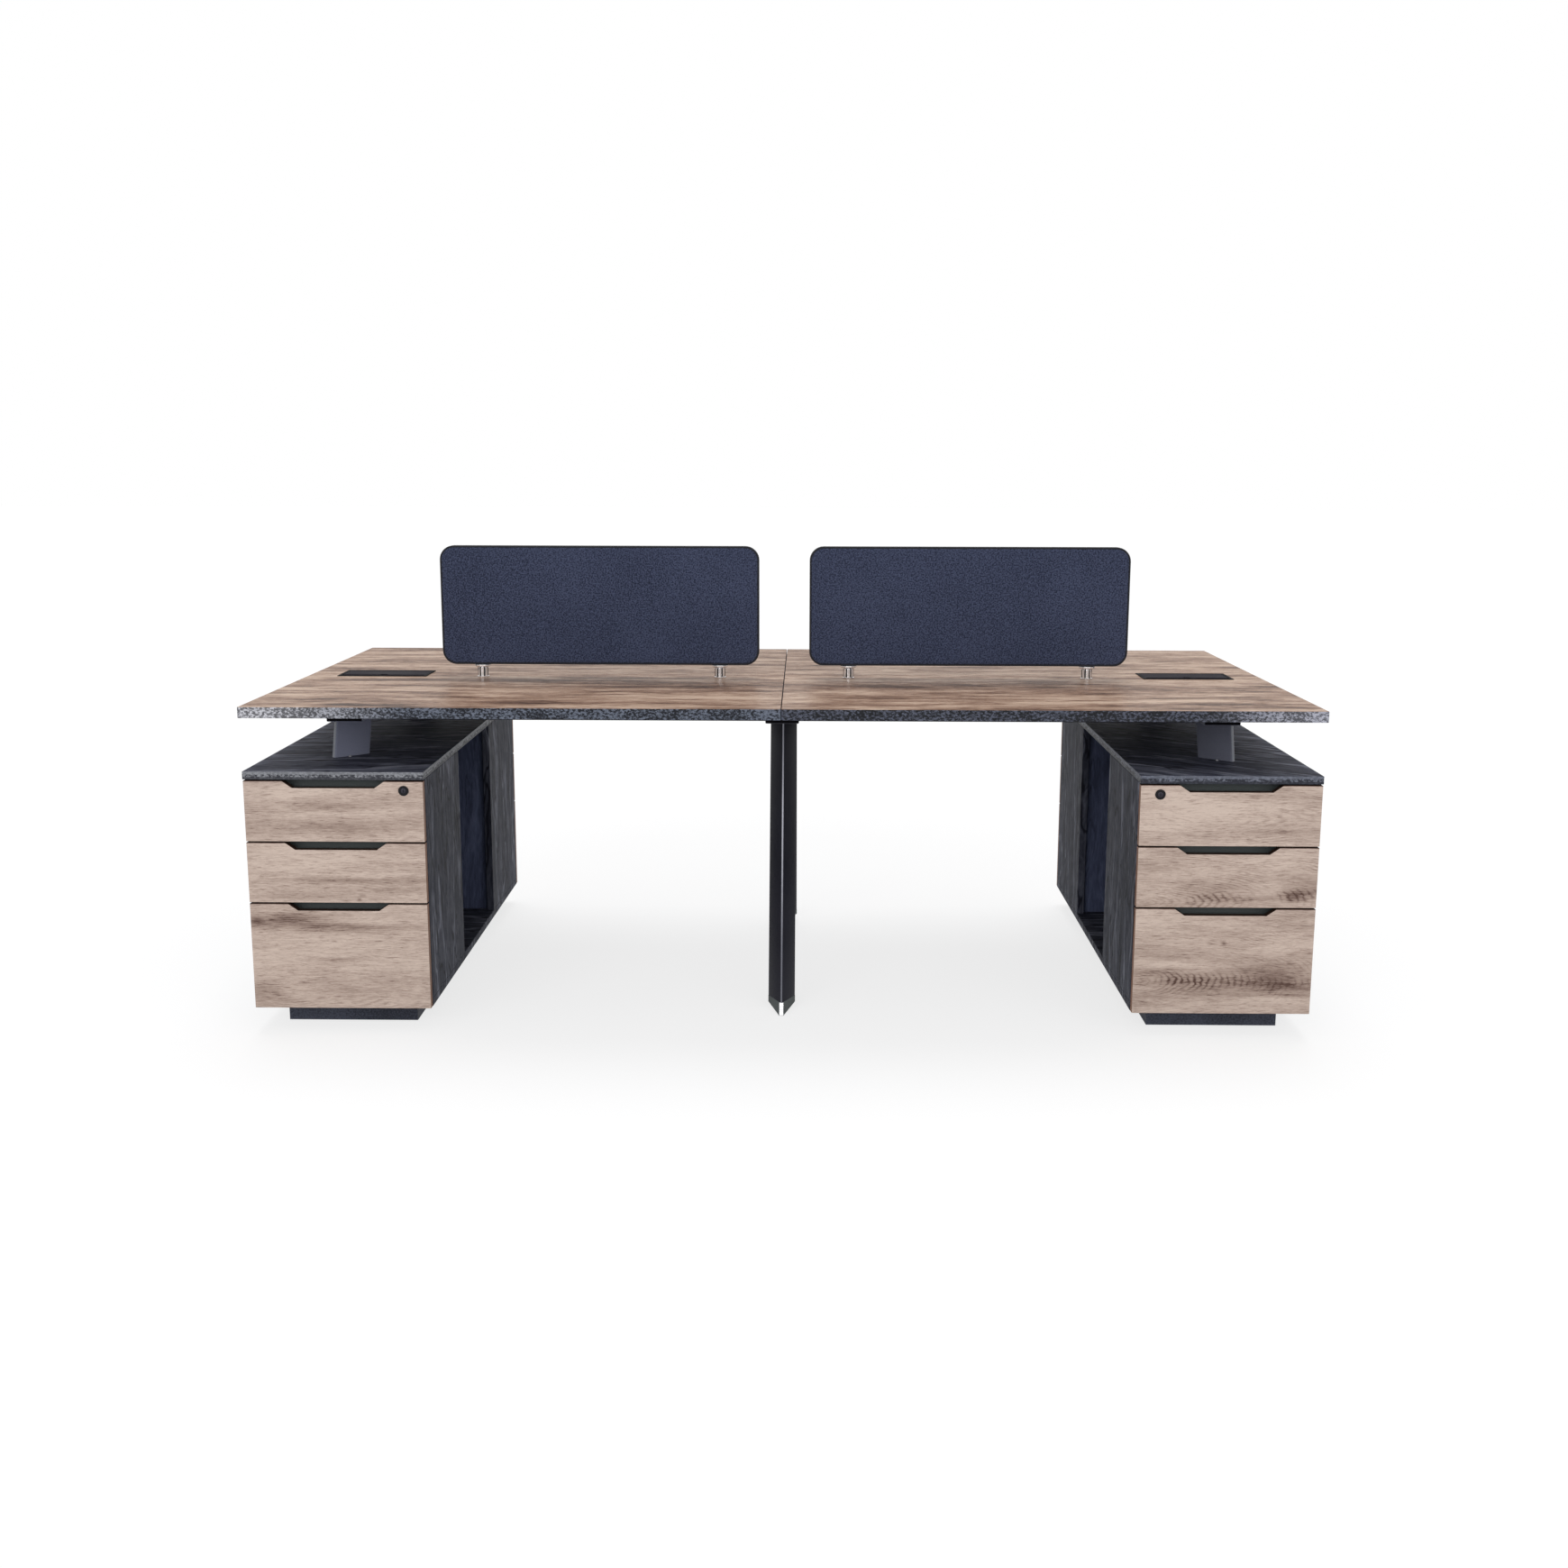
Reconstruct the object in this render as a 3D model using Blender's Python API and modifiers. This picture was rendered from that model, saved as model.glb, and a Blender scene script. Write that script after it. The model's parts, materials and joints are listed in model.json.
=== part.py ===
"""Back-to-back office workstation: four desktops on two shared drawer cabinets and a centre frame.

Metres, +Z up. The origin is the centre of the floor area, X runs along the workstation and
the front user sits at -Y. Left means -X and rear means +Y.
"""

import math

import bmesh
import bpy
from mathutils import Matrix, Vector

# Gap that pieces resting on each other keep, and how far fused shapes reach into each other
GAP = 0.0003
OVERLAP = 0.002

# Desktops
DESK_LENGTH = 1.200
DESK_DEPTH = 0.600
DESK_THICK = 0.025
DESK_HEIGHT = 0.750
DESK_SEAM = 0.0016
DESK_EDGE = 0.0012

# Cabinets
CABINET_WIDTH = 0.404
FACE_INSET = 0.008
BOARD = 0.018
PLINTH_HEIGHT = 0.056
PLINTH_WIDTH = 0.300
PLINTH_INSET = 0.084
NICHE_HALF = 0.203
NICHE_RECESS = 0.020
BOARD_EDGE = 0.0008

# Drawers
SHALLOW_FACE = 0.138
DEEP_FACE = 0.245
FACE_GAP = 0.003
FACE_REVEAL = 0.001
FACE_THICK = 0.018
CUT_TOP = 0.230
CUT_BOTTOM = 0.184
CUT_DEPTH = 0.016
TUB_BACK_GAP = 0.0177
TUB_WALL = 0.0015
TUB_LIP = 0.005
TUB_LIFT = 0.026
TUB_BELOW_CUT = 0.020
RUNNER_SPACE = 0.013
RAIL_WIDTH = 0.0125
RAIL_WEB = 0.0025
RAIL_LIP = 0.003
RAIL_GROOVE = 0.010
RAIL_LIFT = 0.022
RAIL_SETBACK = 0.006
RAIL_BACK_GAP = 0.003
BAR_SETBACK = 0.012
BAR_BACK_GAP = 0.005
BAR_REACH = 0.0095

# Locks
LOCK_INSET = 0.0445
LOCK_DROP = 0.021
LOCK_COLLAR_RADIUS = 0.0115
LOCK_COLLAR_THICK = 0.0015
LOCK_BARREL_RADIUS = 0.0093
LOCK_SLOT_LENGTH = 0.0085
LOCK_SLOT_WIDTH = 0.0016
LOCK_SLOT_DEPTH = 0.003
CAM_REACH = 0.020
CAM_HEIGHT = 0.009
CAM_THICK = 0.0025
CAM_STANDOFF = 0.004

# Steel under the desktops
BEAM_HEIGHT = 0.035
BEAM_EDGE = 0.003
BEAM_SETBACK = 0.180
BEAM_BACK = 0.062
SIDE_BEAM_WIDTH = 0.085
CENTRE_BEAM_WIDTH = 0.078
RISER_WIDTH = 0.092
RISER_THICK = 0.016
RISER_EDGE = 0.005
RISER_SETBACK = 0.224
RISER_TURN = math.radians(43)
LEAN = math.radians(22)

# Legs of the centre frame: a section whose sharp ridge faces the user
LEG_SETBACK = 0.142
LEG_WIDTH = 0.0645
LEG_NOSE = 0.064
LEG_DEPTH = 0.080
LEG_BACK_WIDTH = 0.037
LEG_RIDGE_RADIUS = 0.0035
LEG_SIDE_RADIUS = 0.004
CAP_HEIGHT = 0.030
CAP_SKIRT = 0.014
CAP_NOSE_WIDTH = 0.010
CAP_SOLE_WIDTH = 0.013
CAP_SOLE_LENGTH = 0.062
CAP_INSET = 0.0004

# Cable ports
PORT_FROM_END = 0.188
PORT_LENGTH = 0.225
PORT_DEPTH = 0.115
PORT_FLANGE = 0.006
PORT_PROUD = 0.0015
PORT_WALL = 0.002
PORT_SLEEVE = 0.050
LID_DEPTH = 0.078
LID_THICK = 0.004
LID_SIDE_GAP = 0.0006
LID_NOTCH_RADIUS = 0.010
KNUCKLE_RADIUS = 0.003
KNUCKLE_GAP = 0.0007
PIN_RADIUS = 0.0014
PIN_REACH = 0.0014
LEDGE_REACH = 0.005
LEDGE_LENGTH = 0.020
LEDGE_THICK = 0.003
LEDGE_FROM_HINGE = 0.050

# Cable tray
TRAY_PAST_PORT = 0.108
TRAY_HALF_WIDTH = 0.080
TRAY_DEPTH = 0.045
TRAY_LIP = 0.014
TRAY_WALL = 0.0015

# Desk screens
SCREEN_LENGTH = 0.793
SCREEN_HEIGHT = 0.295
SCREEN_THICK = 0.022
SCREEN_CORNER = 0.035
SCREEN_EDGE = 0.003
SCREEN_LIFT = 0.032
SCREEN_FROM_SEAM = 0.048
SCREEN_FROM_MIDDLE = 0.0625
POST_SPACING = 0.596
POST_RADIUS = 0.0136
POST_FOOT_RADIUS = 0.0150
POST_FOOT_THICK = 0.002
POST_HEAD_RADIUS = 0.0205
POST_HEAD_THICK = 0.003
POST_FLARE = 0.003

# Places that follow from the sizes above
DESK_UNDERSIDE = DESK_HEIGHT - DESK_THICK
BEAM_BOTTOM = DESK_UNDERSIDE - GAP - BEAM_HEIGHT
PORT_X = DESK_LENGTH - PORT_FROM_END
TRAY_HALF_LENGTH = PORT_X + TRAY_PAST_PORT
BEAM_FRONT = DESK_DEPTH - BEAM_SETBACK
RISER_Y = DESK_DEPTH - RISER_SETBACK
LEG_RIDGE_Y = DESK_DEPTH - LEG_SETBACK
FACE_Y = DESK_DEPTH - FACE_INSET
CARCASS_Y = FACE_Y - FACE_THICK - GAP
CABINET_INNER = DESK_LENGTH - CABINET_WIDTH
CABINET_CENTRE = DESK_LENGTH - CABINET_WIDTH / 2
INSIDE_LOW = CABINET_INNER + BOARD
INSIDE_HIGH = DESK_LENGTH - BOARD
FACE_HEIGHTS = {"lower": DEEP_FACE, "middle": SHALLOW_FACE, "upper": SHALLOW_FACE}
FACES_TOP = PLINTH_HEIGHT + sum(FACE_HEIGHTS.values()) + FACE_GAP * (len(FACE_HEIGHTS) - 1)
TOP_BOARD_UNDERSIDE = FACES_TOP + FACE_GAP
CABINET_HEIGHT = TOP_BOARD_UNDERSIDE + BOARD
SIDE_LOW = PLINTH_HEIGHT + BOARD + GAP
SIDE_HIGH = TOP_BOARD_UNDERSIDE - GAP
LOCK_X = CABINET_INNER + LOCK_INSET
LOCK_Z = FACES_TOP - LOCK_DROP
NICHE_WALL_Y = NICHE_HALF + NICHE_RECESS
TUB_LENGTH = CARCASS_Y - NICHE_WALL_Y - BOARD - TUB_BACK_GAP
RAIL_LENGTH = TUB_LENGTH - RAIL_SETBACK - RAIL_BACK_GAP
BAR_LENGTH = TUB_LENGTH - BAR_SETBACK - BAR_BACK_GAP
TUB_HALF_WIDTH = (INSIDE_HIGH - INSIDE_LOW) / 2 - RUNNER_SPACE
CUT_X = PORT_LENGTH / 2 - PORT_FLANGE
CUT_Y = PORT_DEPTH / 2 - PORT_FLANGE
PORT_INNER_X = CUT_X - GAP - PORT_WALL
PORT_INNER_Y = CUT_Y - GAP - PORT_WALL
PORT_TOP = DESK_HEIGHT + GAP + PORT_PROUD
HINGE_Y = PORT_INNER_Y - KNUCKLE_GAP - KNUCKLE_RADIUS
HINGE_Z = PORT_TOP - KNUCKLE_RADIUS
SCREEN_LOW = DESK_HEIGHT + SCREEN_LIFT
SCREEN_X = SCREEN_FROM_MIDDLE + SCREEN_LENGTH / 2

LEFT, RIGHT, FRONT, REAR = -1, 1, -1, 1
SIDE_NAMES = {LEFT: "left", RIGHT: "right"}
END_NAMES = {FRONT: "front", REAR: "rear"}


def clear_scene():
    """Removes whatever the scene holds."""
    for obj in list(bpy.data.objects):
        bpy.data.objects.remove(obj, do_unlink=True)


def make_collection(name):
    collection = bpy.data.collections.new(name)
    bpy.context.scene.collection.children.link(collection)
    return collection


def make_material(name, color, roughness, metallic=0.0):
    material = bpy.data.materials.new(name)
    material.use_nodes = True
    shader = material.node_tree.nodes["Principled BSDF"]
    shader.inputs["Base Color"].default_value = (*color, 1.0)
    shader.inputs["Roughness"].default_value = roughness
    shader.inputs["Metallic"].default_value = metallic
    return material


clear_scene()
PARTS = make_collection("back_to_back_workstation")
HELPERS = make_collection("cutters_and_joined_shapes")

OAK = make_material("light_oak_laminate", (0.46, 0.33, 0.24), 0.45)
DRAWER_OAK = make_material("drawer_oak_laminate", (0.53, 0.40, 0.32), 0.5)
DARK_WOOD = make_material("dark_wood_laminate", (0.042, 0.043, 0.052), 0.5)
FABRIC = make_material("screen_fabric", (0.040, 0.048, 0.085), 0.95)
DARK_STEEL = make_material("dark_coated_steel", (0.020, 0.020, 0.024), 0.4, 0.3)
GREY_STEEL = make_material("grey_coated_steel", (0.050, 0.052, 0.070), 0.4, 0.3)
CHROME = make_material("chrome", (0.80, 0.80, 0.80), 0.08, 1.0)
BLACK_PLASTIC = make_material("black_plastic", (0.015, 0.016, 0.018), 0.45)
FOOT_PLASTIC = make_material("grey_foot_plastic", (0.12, 0.13, 0.13), 0.4)


def add_object(name, mesh, material, collection, location=(0, 0, 0)):
    obj = bpy.data.objects.new(name, mesh)
    obj.location = location
    collection.objects.link(obj)
    if material:
        mesh.materials.append(material)
    return obj


def box_bmesh(low, high, origin):
    """A bmesh box between two corners, relative to an origin."""
    bm = bmesh.new()
    bmesh.ops.create_cube(bm, size=1.0)
    low, high = Vector(low), Vector(high)
    bmesh.ops.scale(bm, vec=high - low, verts=bm.verts)
    bmesh.ops.translate(bm, vec=(low + high) / 2 - Vector(origin), verts=bm.verts)
    return bm


def finish_mesh(bm, name):
    mesh = bpy.data.meshes.new(name)
    bmesh.ops.recalc_face_normals(bm, faces=bm.faces)
    bm.to_mesh(mesh)
    bm.free()
    return mesh


def span(sign, near, far):
    """The low and high ends of a stretch that is near to far from a middle plane, on one side."""
    return tuple(sorted((sign * near, sign * far)))


def box(name, x, y, z, material=None, origin=None, collection=None):
    """A box between x, y and z ranges. Without a material it is a hidden helper shape."""
    low, high = (x[0], y[0], z[0]), (x[1], y[1], z[1])
    origin = origin or tuple((a + b) / 2 for a, b in zip(low, high))
    collection = collection or (PARTS if material else HELPERS)
    mesh = finish_mesh(box_bmesh(low, high, origin), name)
    obj = add_object(name, mesh, material, collection, origin)
    if collection is HELPERS:
        obj.hide_render = True
        obj.display_type = "WIRE"
    return obj


def cylinder(name, radius, start, end, segments=32):
    """A hidden helper cylinder between two points on one axis."""
    start, end = Vector(start), Vector(end)
    bm = bmesh.new()
    bmesh.ops.create_cone(
        bm, cap_ends=True, segments=segments, radius1=radius, radius2=radius, depth=(end - start).length
    )
    turn = (end - start).to_track_quat("Z", "Y").to_matrix()
    bmesh.ops.rotate(bm, cent=(0, 0, 0), matrix=turn, verts=bm.verts)
    obj = add_object(name, finish_mesh(bm, name), None, HELPERS, (start + end) / 2)
    obj.hide_render = True
    obj.display_type = "WIRE"
    return obj


def outline_prism(name, outline, low, high, material=None):
    """An upright prism over a flat outline, made from a filled 2D curve and returned as a mesh object."""
    curve = bpy.data.curves.new(name + "_outline", "CURVE")
    curve.dimensions = "2D"
    curve.fill_mode = "BOTH"
    curve.extrude = (high - low) / 2
    spline = curve.splines.new("POLY")
    spline.points.add(len(outline) - 1)
    for point, (x, y) in zip(spline.points, outline):
        point.co = (x, y, 0, 1)
    spline.use_cyclic_u = True
    guide = bpy.data.objects.new(name + "_outline", curve)
    guide.location = (0, 0, (low + high) / 2)
    HELPERS.objects.link(guide)
    bpy.context.view_layer.update()
    mesh = bpy.data.meshes.new_from_object(guide.evaluated_get(bpy.context.evaluated_depsgraph_get()))
    bm = bmesh.new()
    bm.from_mesh(mesh)
    bmesh.ops.remove_doubles(bm, verts=bm.verts, dist=1e-6)
    bmesh.ops.recalc_face_normals(bm, faces=bm.faces)
    bm.to_mesh(mesh)
    bm.free()
    mesh.name = name
    mesh.materials.clear()
    obj = add_object(name, mesh, material, PARTS if material else HELPERS, guide.location)
    bpy.data.objects.remove(guide, do_unlink=True)
    if not material:
        obj.hide_render = True
        obj.display_type = "WIRE"
    return obj


def boolean(obj, other, operation):
    modifier = obj.modifiers.new(operation.lower(), "BOOLEAN")
    modifier.operation = operation
    modifier.solver = "EXACT"
    modifier.object = other


def cut(obj, *others):
    for other in others:
        boolean(obj, other, "DIFFERENCE")


def join(obj, *others):
    for other in others:
        boolean(obj, other, "UNION")


def soften(obj, width, segments=1):
    """Rounds the sharp edges that the object has so far."""
    modifier = obj.modifiers.new("edges", "BEVEL")
    modifier.width = width
    modifier.segments = segments
    modifier.limit_method = "ANGLE"
    modifier.angle_limit = math.radians(40)


def smooth(obj, angle=math.radians(35)):
    obj.data.shade_smooth()
    obj.data.set_sharp_from_angle(angle=angle)


def round_edges_along(bm, axis, radius, segments):
    """Rounds the edges of a box that run along one axis."""
    edges = [e for e in bm.edges if abs((e.verts[0].co - e.verts[1].co).normalized()[axis]) > 0.99]
    bmesh.ops.bevel(
        bm, geom=edges, offset=radius, segments=segments, profile=0.5, affect="EDGES", clamp_overlap=True
    )


def shear_back(obj, sy, base_z, lean):
    """Leans an upright piece towards the middle plane, keeping its horizontal section."""
    slope = -sy * math.tan(lean)
    for vertex in obj.data.vertices:
        vertex.co.y += slope * (vertex.co.z + obj.location.z - base_z)


def desktop(sx, sy):
    """A rear desktop is the front one of the other side, turned half round."""
    name = f"desktop_{END_NAMES[sy]}_{SIDE_NAMES[sx]}"
    turned = sy == REAR
    front_x = -sx if turned else sx
    middle = (0, 0, DESK_HEIGHT)
    top = box(
        name,
        span(front_x, DESK_SEAM / 2, DESK_LENGTH),
        span(FRONT, DESK_SEAM / 2, DESK_DEPTH),
        (DESK_UNDERSIDE, DESK_HEIGHT),
        OAK,
        origin=middle,
    )
    soften(top, DESK_EDGE, 2)
    notch = box(
        name + "_port_notch",
        (front_x * PORT_X - CUT_X, front_x * PORT_X + CUT_X),
        span(FRONT, -OVERLAP, CUT_Y),
        (DESK_UNDERSIDE - OVERLAP, DESK_HEIGHT + OVERLAP),
        origin=middle,
    )
    for piece in (top, notch):
        piece.rotation_euler.z = math.pi if turned else 0
    cut(top, notch)
    return top


def cable_box(sx):
    """Frame on the desktops, its sleeve through them, the lid's ledges and its two pivot holes."""
    side, x = SIDE_NAMES[sx], sx * PORT_X
    flange = box(
        f"cable_box_{side}",
        (x - PORT_LENGTH / 2, x + PORT_LENGTH / 2),
        (-PORT_DEPTH / 2, PORT_DEPTH / 2),
        (DESK_HEIGHT + GAP, PORT_TOP),
        BLACK_PLASTIC,
    )
    soften(flange, PORT_PROUD * 0.4)
    sleeve_x, sleeve_y = CUT_X - GAP, CUT_Y - GAP
    sleeve = box(
        f"cable_sleeve_{side}",
        (x - sleeve_x, x + sleeve_x),
        (-sleeve_y, sleeve_y),
        (DESK_HEIGHT - PORT_SLEEVE, PORT_TOP - PORT_PROUD / 2),
    )
    hollow = box(
        f"cable_hollow_{side}",
        (x - PORT_INNER_X, x + PORT_INNER_X),
        (-PORT_INNER_Y, PORT_INNER_Y),
        (DESK_HEIGHT - PORT_SLEEVE - OVERLAP, PORT_TOP + OVERLAP),
    )
    join(flange, sleeve)
    cut(flange, hollow)
    ledge_top = PORT_TOP - LID_THICK - GAP
    ledge_y = HINGE_Y - LEDGE_FROM_HINGE
    for end in (LEFT, RIGHT):
        wall = x + end * PORT_INNER_X
        ledge = box(
            f"lid_ledge_{side}_{SIDE_NAMES[end]}",
            tuple(sorted((wall + end * PORT_WALL / 2, wall - end * LEDGE_REACH))),
            (ledge_y - LEDGE_LENGTH / 2, ledge_y + LEDGE_LENGTH / 2),
            (ledge_top - LEDGE_THICK, ledge_top),
        )
        pivot = cylinder(
            f"pivot_hole_{side}_{SIDE_NAMES[end]}",
            PIN_RADIUS + GAP,
            (wall - end * OVERLAP, HINGE_Y, HINGE_Z),
            (wall + end * (PIN_REACH + GAP), HINGE_Y, HINGE_Z),
            12,
        )
        join(flange, ledge)
        cut(flange, pivot)
    return flange


def cable_lid(sx):
    """Hinged lid: a plate with a knuckle along its rear edge, whose pins turn in the frame."""
    side, x = SIDE_NAMES[sx], sx * PORT_X
    half = PORT_INNER_X - LID_SIDE_GAP
    plate = box(
        f"cable_lid_{side}",
        (x - half, x + half),
        (HINGE_Y - LID_DEPTH, HINGE_Y),
        (PORT_TOP - LID_THICK, PORT_TOP - GAP),
        BLACK_PLASTIC,
        origin=(x, HINGE_Y, HINGE_Z),
    )
    soften(plate, GAP)
    knuckle = cylinder(
        f"lid_knuckle_{side}",
        KNUCKLE_RADIUS,
        (x - half + GAP, HINGE_Y, HINGE_Z),
        (x + half - GAP, HINGE_Y, HINGE_Z),
        16,
    )
    reach = PORT_INNER_X + PIN_REACH
    pins = cylinder(
        f"lid_pins_{side}",
        PIN_RADIUS,
        (x - reach, HINGE_Y, HINGE_Z),
        (x + reach, HINGE_Y, HINGE_Z),
        12,
    )
    notch = cylinder(
        f"lid_notch_{side}",
        LID_NOTCH_RADIUS,
        (x, HINGE_Y - LID_DEPTH, DESK_HEIGHT - PORT_SLEEVE),
        (x, HINGE_Y - LID_DEPTH, DESK_HEIGHT + PORT_SLEEVE),
        24,
    )
    join(plate, knuckle, pins)
    cut(plate, notch)
    return plate


def cabinet_top(sx):
    top = box(
        f"cabinet_top_{SIDE_NAMES[sx]}",
        span(sx, CABINET_INNER, DESK_LENGTH),
        (-FACE_Y, FACE_Y),
        (TOP_BOARD_UNDERSIDE, CABINET_HEIGHT),
        DARK_WOOD,
    )
    soften(top, BOARD_EDGE, 2)
    return top


def cabinet_base(sx):
    """Bottom board on a plinth that is a ring of boards, open below."""
    side = SIDE_NAMES[sx]
    base = box(
        f"cabinet_base_{side}",
        span(sx, CABINET_INNER, DESK_LENGTH),
        (-CARCASS_Y, CARCASS_Y),
        (PLINTH_HEIGHT, PLINTH_HEIGHT + BOARD),
        DARK_WOOD,
    )
    soften(base, BOARD_EDGE)
    half, front = PLINTH_WIDTH / 2, FACE_Y - PLINTH_INSET
    plinth = box(
        f"plinth_{side}",
        (sx * CABINET_CENTRE - half, sx * CABINET_CENTRE + half),
        (-front, front),
        (0, PLINTH_HEIGHT + OVERLAP),
    )
    inside = box(
        f"plinth_inside_{side}",
        (sx * CABINET_CENTRE - half + BOARD, sx * CABINET_CENTRE + half - BOARD),
        (-front + BOARD, front - BOARD),
        (-OVERLAP, PLINTH_HEIGHT - OVERLAP),
    )
    join(base, plinth)
    cut(base, inside)
    return base


def levels():
    """Each drawer's level name with the low and high edge of its facia."""
    low = PLINTH_HEIGHT
    for level, height in FACE_HEIGHTS.items():
        yield level, low, low + height
        low += height + FACE_GAP


def tub_heights(face_low, face_high):
    """The low and high edge of the tub behind a facia."""
    return face_low + TUB_LIFT, face_high - CUT_DEPTH - TUB_BELOW_CUT


def add_rails(panel, wall, away, sx, sy):
    """Joins one drawer channel a level to a side panel, open towards the drawers."""
    for level, face_low, face_high in levels():
        middle = tub_heights(face_low, face_high)[0] + RAIL_LIFT
        half = RAIL_GROOVE / 2
        label = f"{panel.name}_{END_NAMES[sy]}_{level}"
        front = CARCASS_Y - RAIL_SETBACK
        rail = box(
            "rail_" + label,
            tuple(sorted((sx * (wall - away * OVERLAP), sx * (wall + away * RAIL_WIDTH)))),
            span(sy, front - RAIL_LENGTH, front),
            (middle - half - RAIL_LIP, middle + half + RAIL_LIP),
        )
        groove = box(
            "groove_" + label,
            tuple(sorted((sx * (wall + away * RAIL_WEB), sx * (wall + away * (RAIL_WIDTH + OVERLAP))))),
            span(sy, front - RAIL_LENGTH - OVERLAP, front + OVERLAP),
            (middle - half, middle + half),
        )
        join(panel, rail)
        cut(panel, groove)


def outer_side(sx):
    """Full-depth side panel with the outer channels of all its drawers."""
    panel = box(
        f"outer_side_{SIDE_NAMES[sx]}",
        span(sx, INSIDE_HIGH, DESK_LENGTH),
        (-CARCASS_Y, CARCASS_Y),
        (SIDE_LOW, SIDE_HIGH),
        DARK_WOOD,
    )
    soften(panel, BOARD_EDGE)
    for sy in (FRONT, REAR):
        add_rails(panel, INSIDE_HIGH, -1, sx, sy)
    return panel


def inner_side(sx, sy):
    """Side panel towards the knee space, with the niche wall behind its drawers."""
    name = f"inner_side_{END_NAMES[sy]}_{SIDE_NAMES[sx]}"
    panel = box(
        name,
        span(sx, CABINET_INNER, INSIDE_LOW),
        span(sy, NICHE_HALF, CARCASS_Y),
        (SIDE_LOW, SIDE_HIGH),
        DARK_WOOD,
    )
    soften(panel, BOARD_EDGE)
    wall = box(
        "niche_wall_" + name,
        span(sx, INSIDE_LOW - OVERLAP, INSIDE_HIGH - GAP),
        span(sy, NICHE_WALL_Y, NICHE_WALL_Y + BOARD),
        (SIDE_LOW, SIDE_HIGH),
    )
    join(panel, wall)
    add_rails(panel, INSIDE_LOW, 1, sx, sy)
    return panel


def drawer_facia(name, sx, sy, face_low, face_high, has_lock):
    facia = box(
        "drawer_facia_" + name,
        span(sx, CABINET_INNER + FACE_REVEAL, DESK_LENGTH - FACE_REVEAL),
        span(sy, FACE_Y - FACE_THICK, FACE_Y),
        (face_low, face_high),
        DRAWER_OAK,
    )
    soften(facia, BOARD_EDGE, 2)
    slope = (CUT_TOP - CUT_BOTTOM) / 2 / CUT_DEPTH
    half_top = CUT_TOP / 2 + slope * OVERLAP
    outline = [
        (-half_top, CUT_DEPTH + OVERLAP),
        (-CUT_BOTTOM / 2, 0),
        (CUT_BOTTOM / 2, 0),
        (half_top, CUT_DEPTH + OVERLAP),
    ]
    grip = outline_prism("grip_cut_" + name, outline, -FACE_THICK, FACE_THICK)
    grip.rotation_euler = (math.pi / 2, 0, 0)
    grip.location = (sx * CABINET_CENTRE, sy * (FACE_Y - FACE_THICK / 2), face_high - CUT_DEPTH)
    cut(facia, grip)
    if has_lock:
        hole = cylinder(
            "lock_hole_" + name,
            LOCK_BARREL_RADIUS + GAP,
            (sx * LOCK_X, sy * (FACE_Y - FACE_THICK - OVERLAP), LOCK_Z),
            (sx * LOCK_X, sy * (FACE_Y + OVERLAP), LOCK_Z),
        )
        cut(facia, hole)
    return facia


def drawer_tub(name, sx, sy, face_low, face_high):
    """Folded steel tub with an inward lip and a runner bar on each side."""
    low, high = tub_heights(face_low, face_high)
    x, half = sx * CABINET_CENTRE, TUB_HALF_WIDTH
    front, back = CARCASS_Y, CARCASS_Y - TUB_LENGTH
    tub = box("drawer_tub_" + name, (x - half, x + half), span(sy, back, front), (low, high), DARK_STEEL)
    soften(tub, TUB_WALL / 2)
    bar_front = front - BAR_SETBACK
    bar_half = RAIL_GROOVE / 2 - GAP
    for end in (LEFT, RIGHT):
        bar = box(
            f"runner_bar_{name}_{SIDE_NAMES[end]}",
            tuple(sorted((x + end * (half - TUB_WALL / 2), x + end * (half + BAR_REACH)))),
            span(sy, bar_front - BAR_LENGTH, bar_front),
            (low + RAIL_LIFT - bar_half, low + RAIL_LIFT + bar_half),
        )
        join(tub, bar)
    hollow = box(
        "tub_hollow_" + name,
        (x - half + TUB_WALL, x + half - TUB_WALL),
        span(sy, back + TUB_WALL, front - TUB_WALL),
        (low + TUB_WALL, high - TUB_WALL),
    )
    mouth = box(
        "tub_mouth_" + name,
        (x - half + TUB_LIP, x + half - TUB_LIP),
        span(sy, back + TUB_LIP, front - TUB_LIP),
        (low + TUB_WALL * 2, high + OVERLAP),
    )
    cut(tub, hollow, mouth)
    return tub


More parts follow.
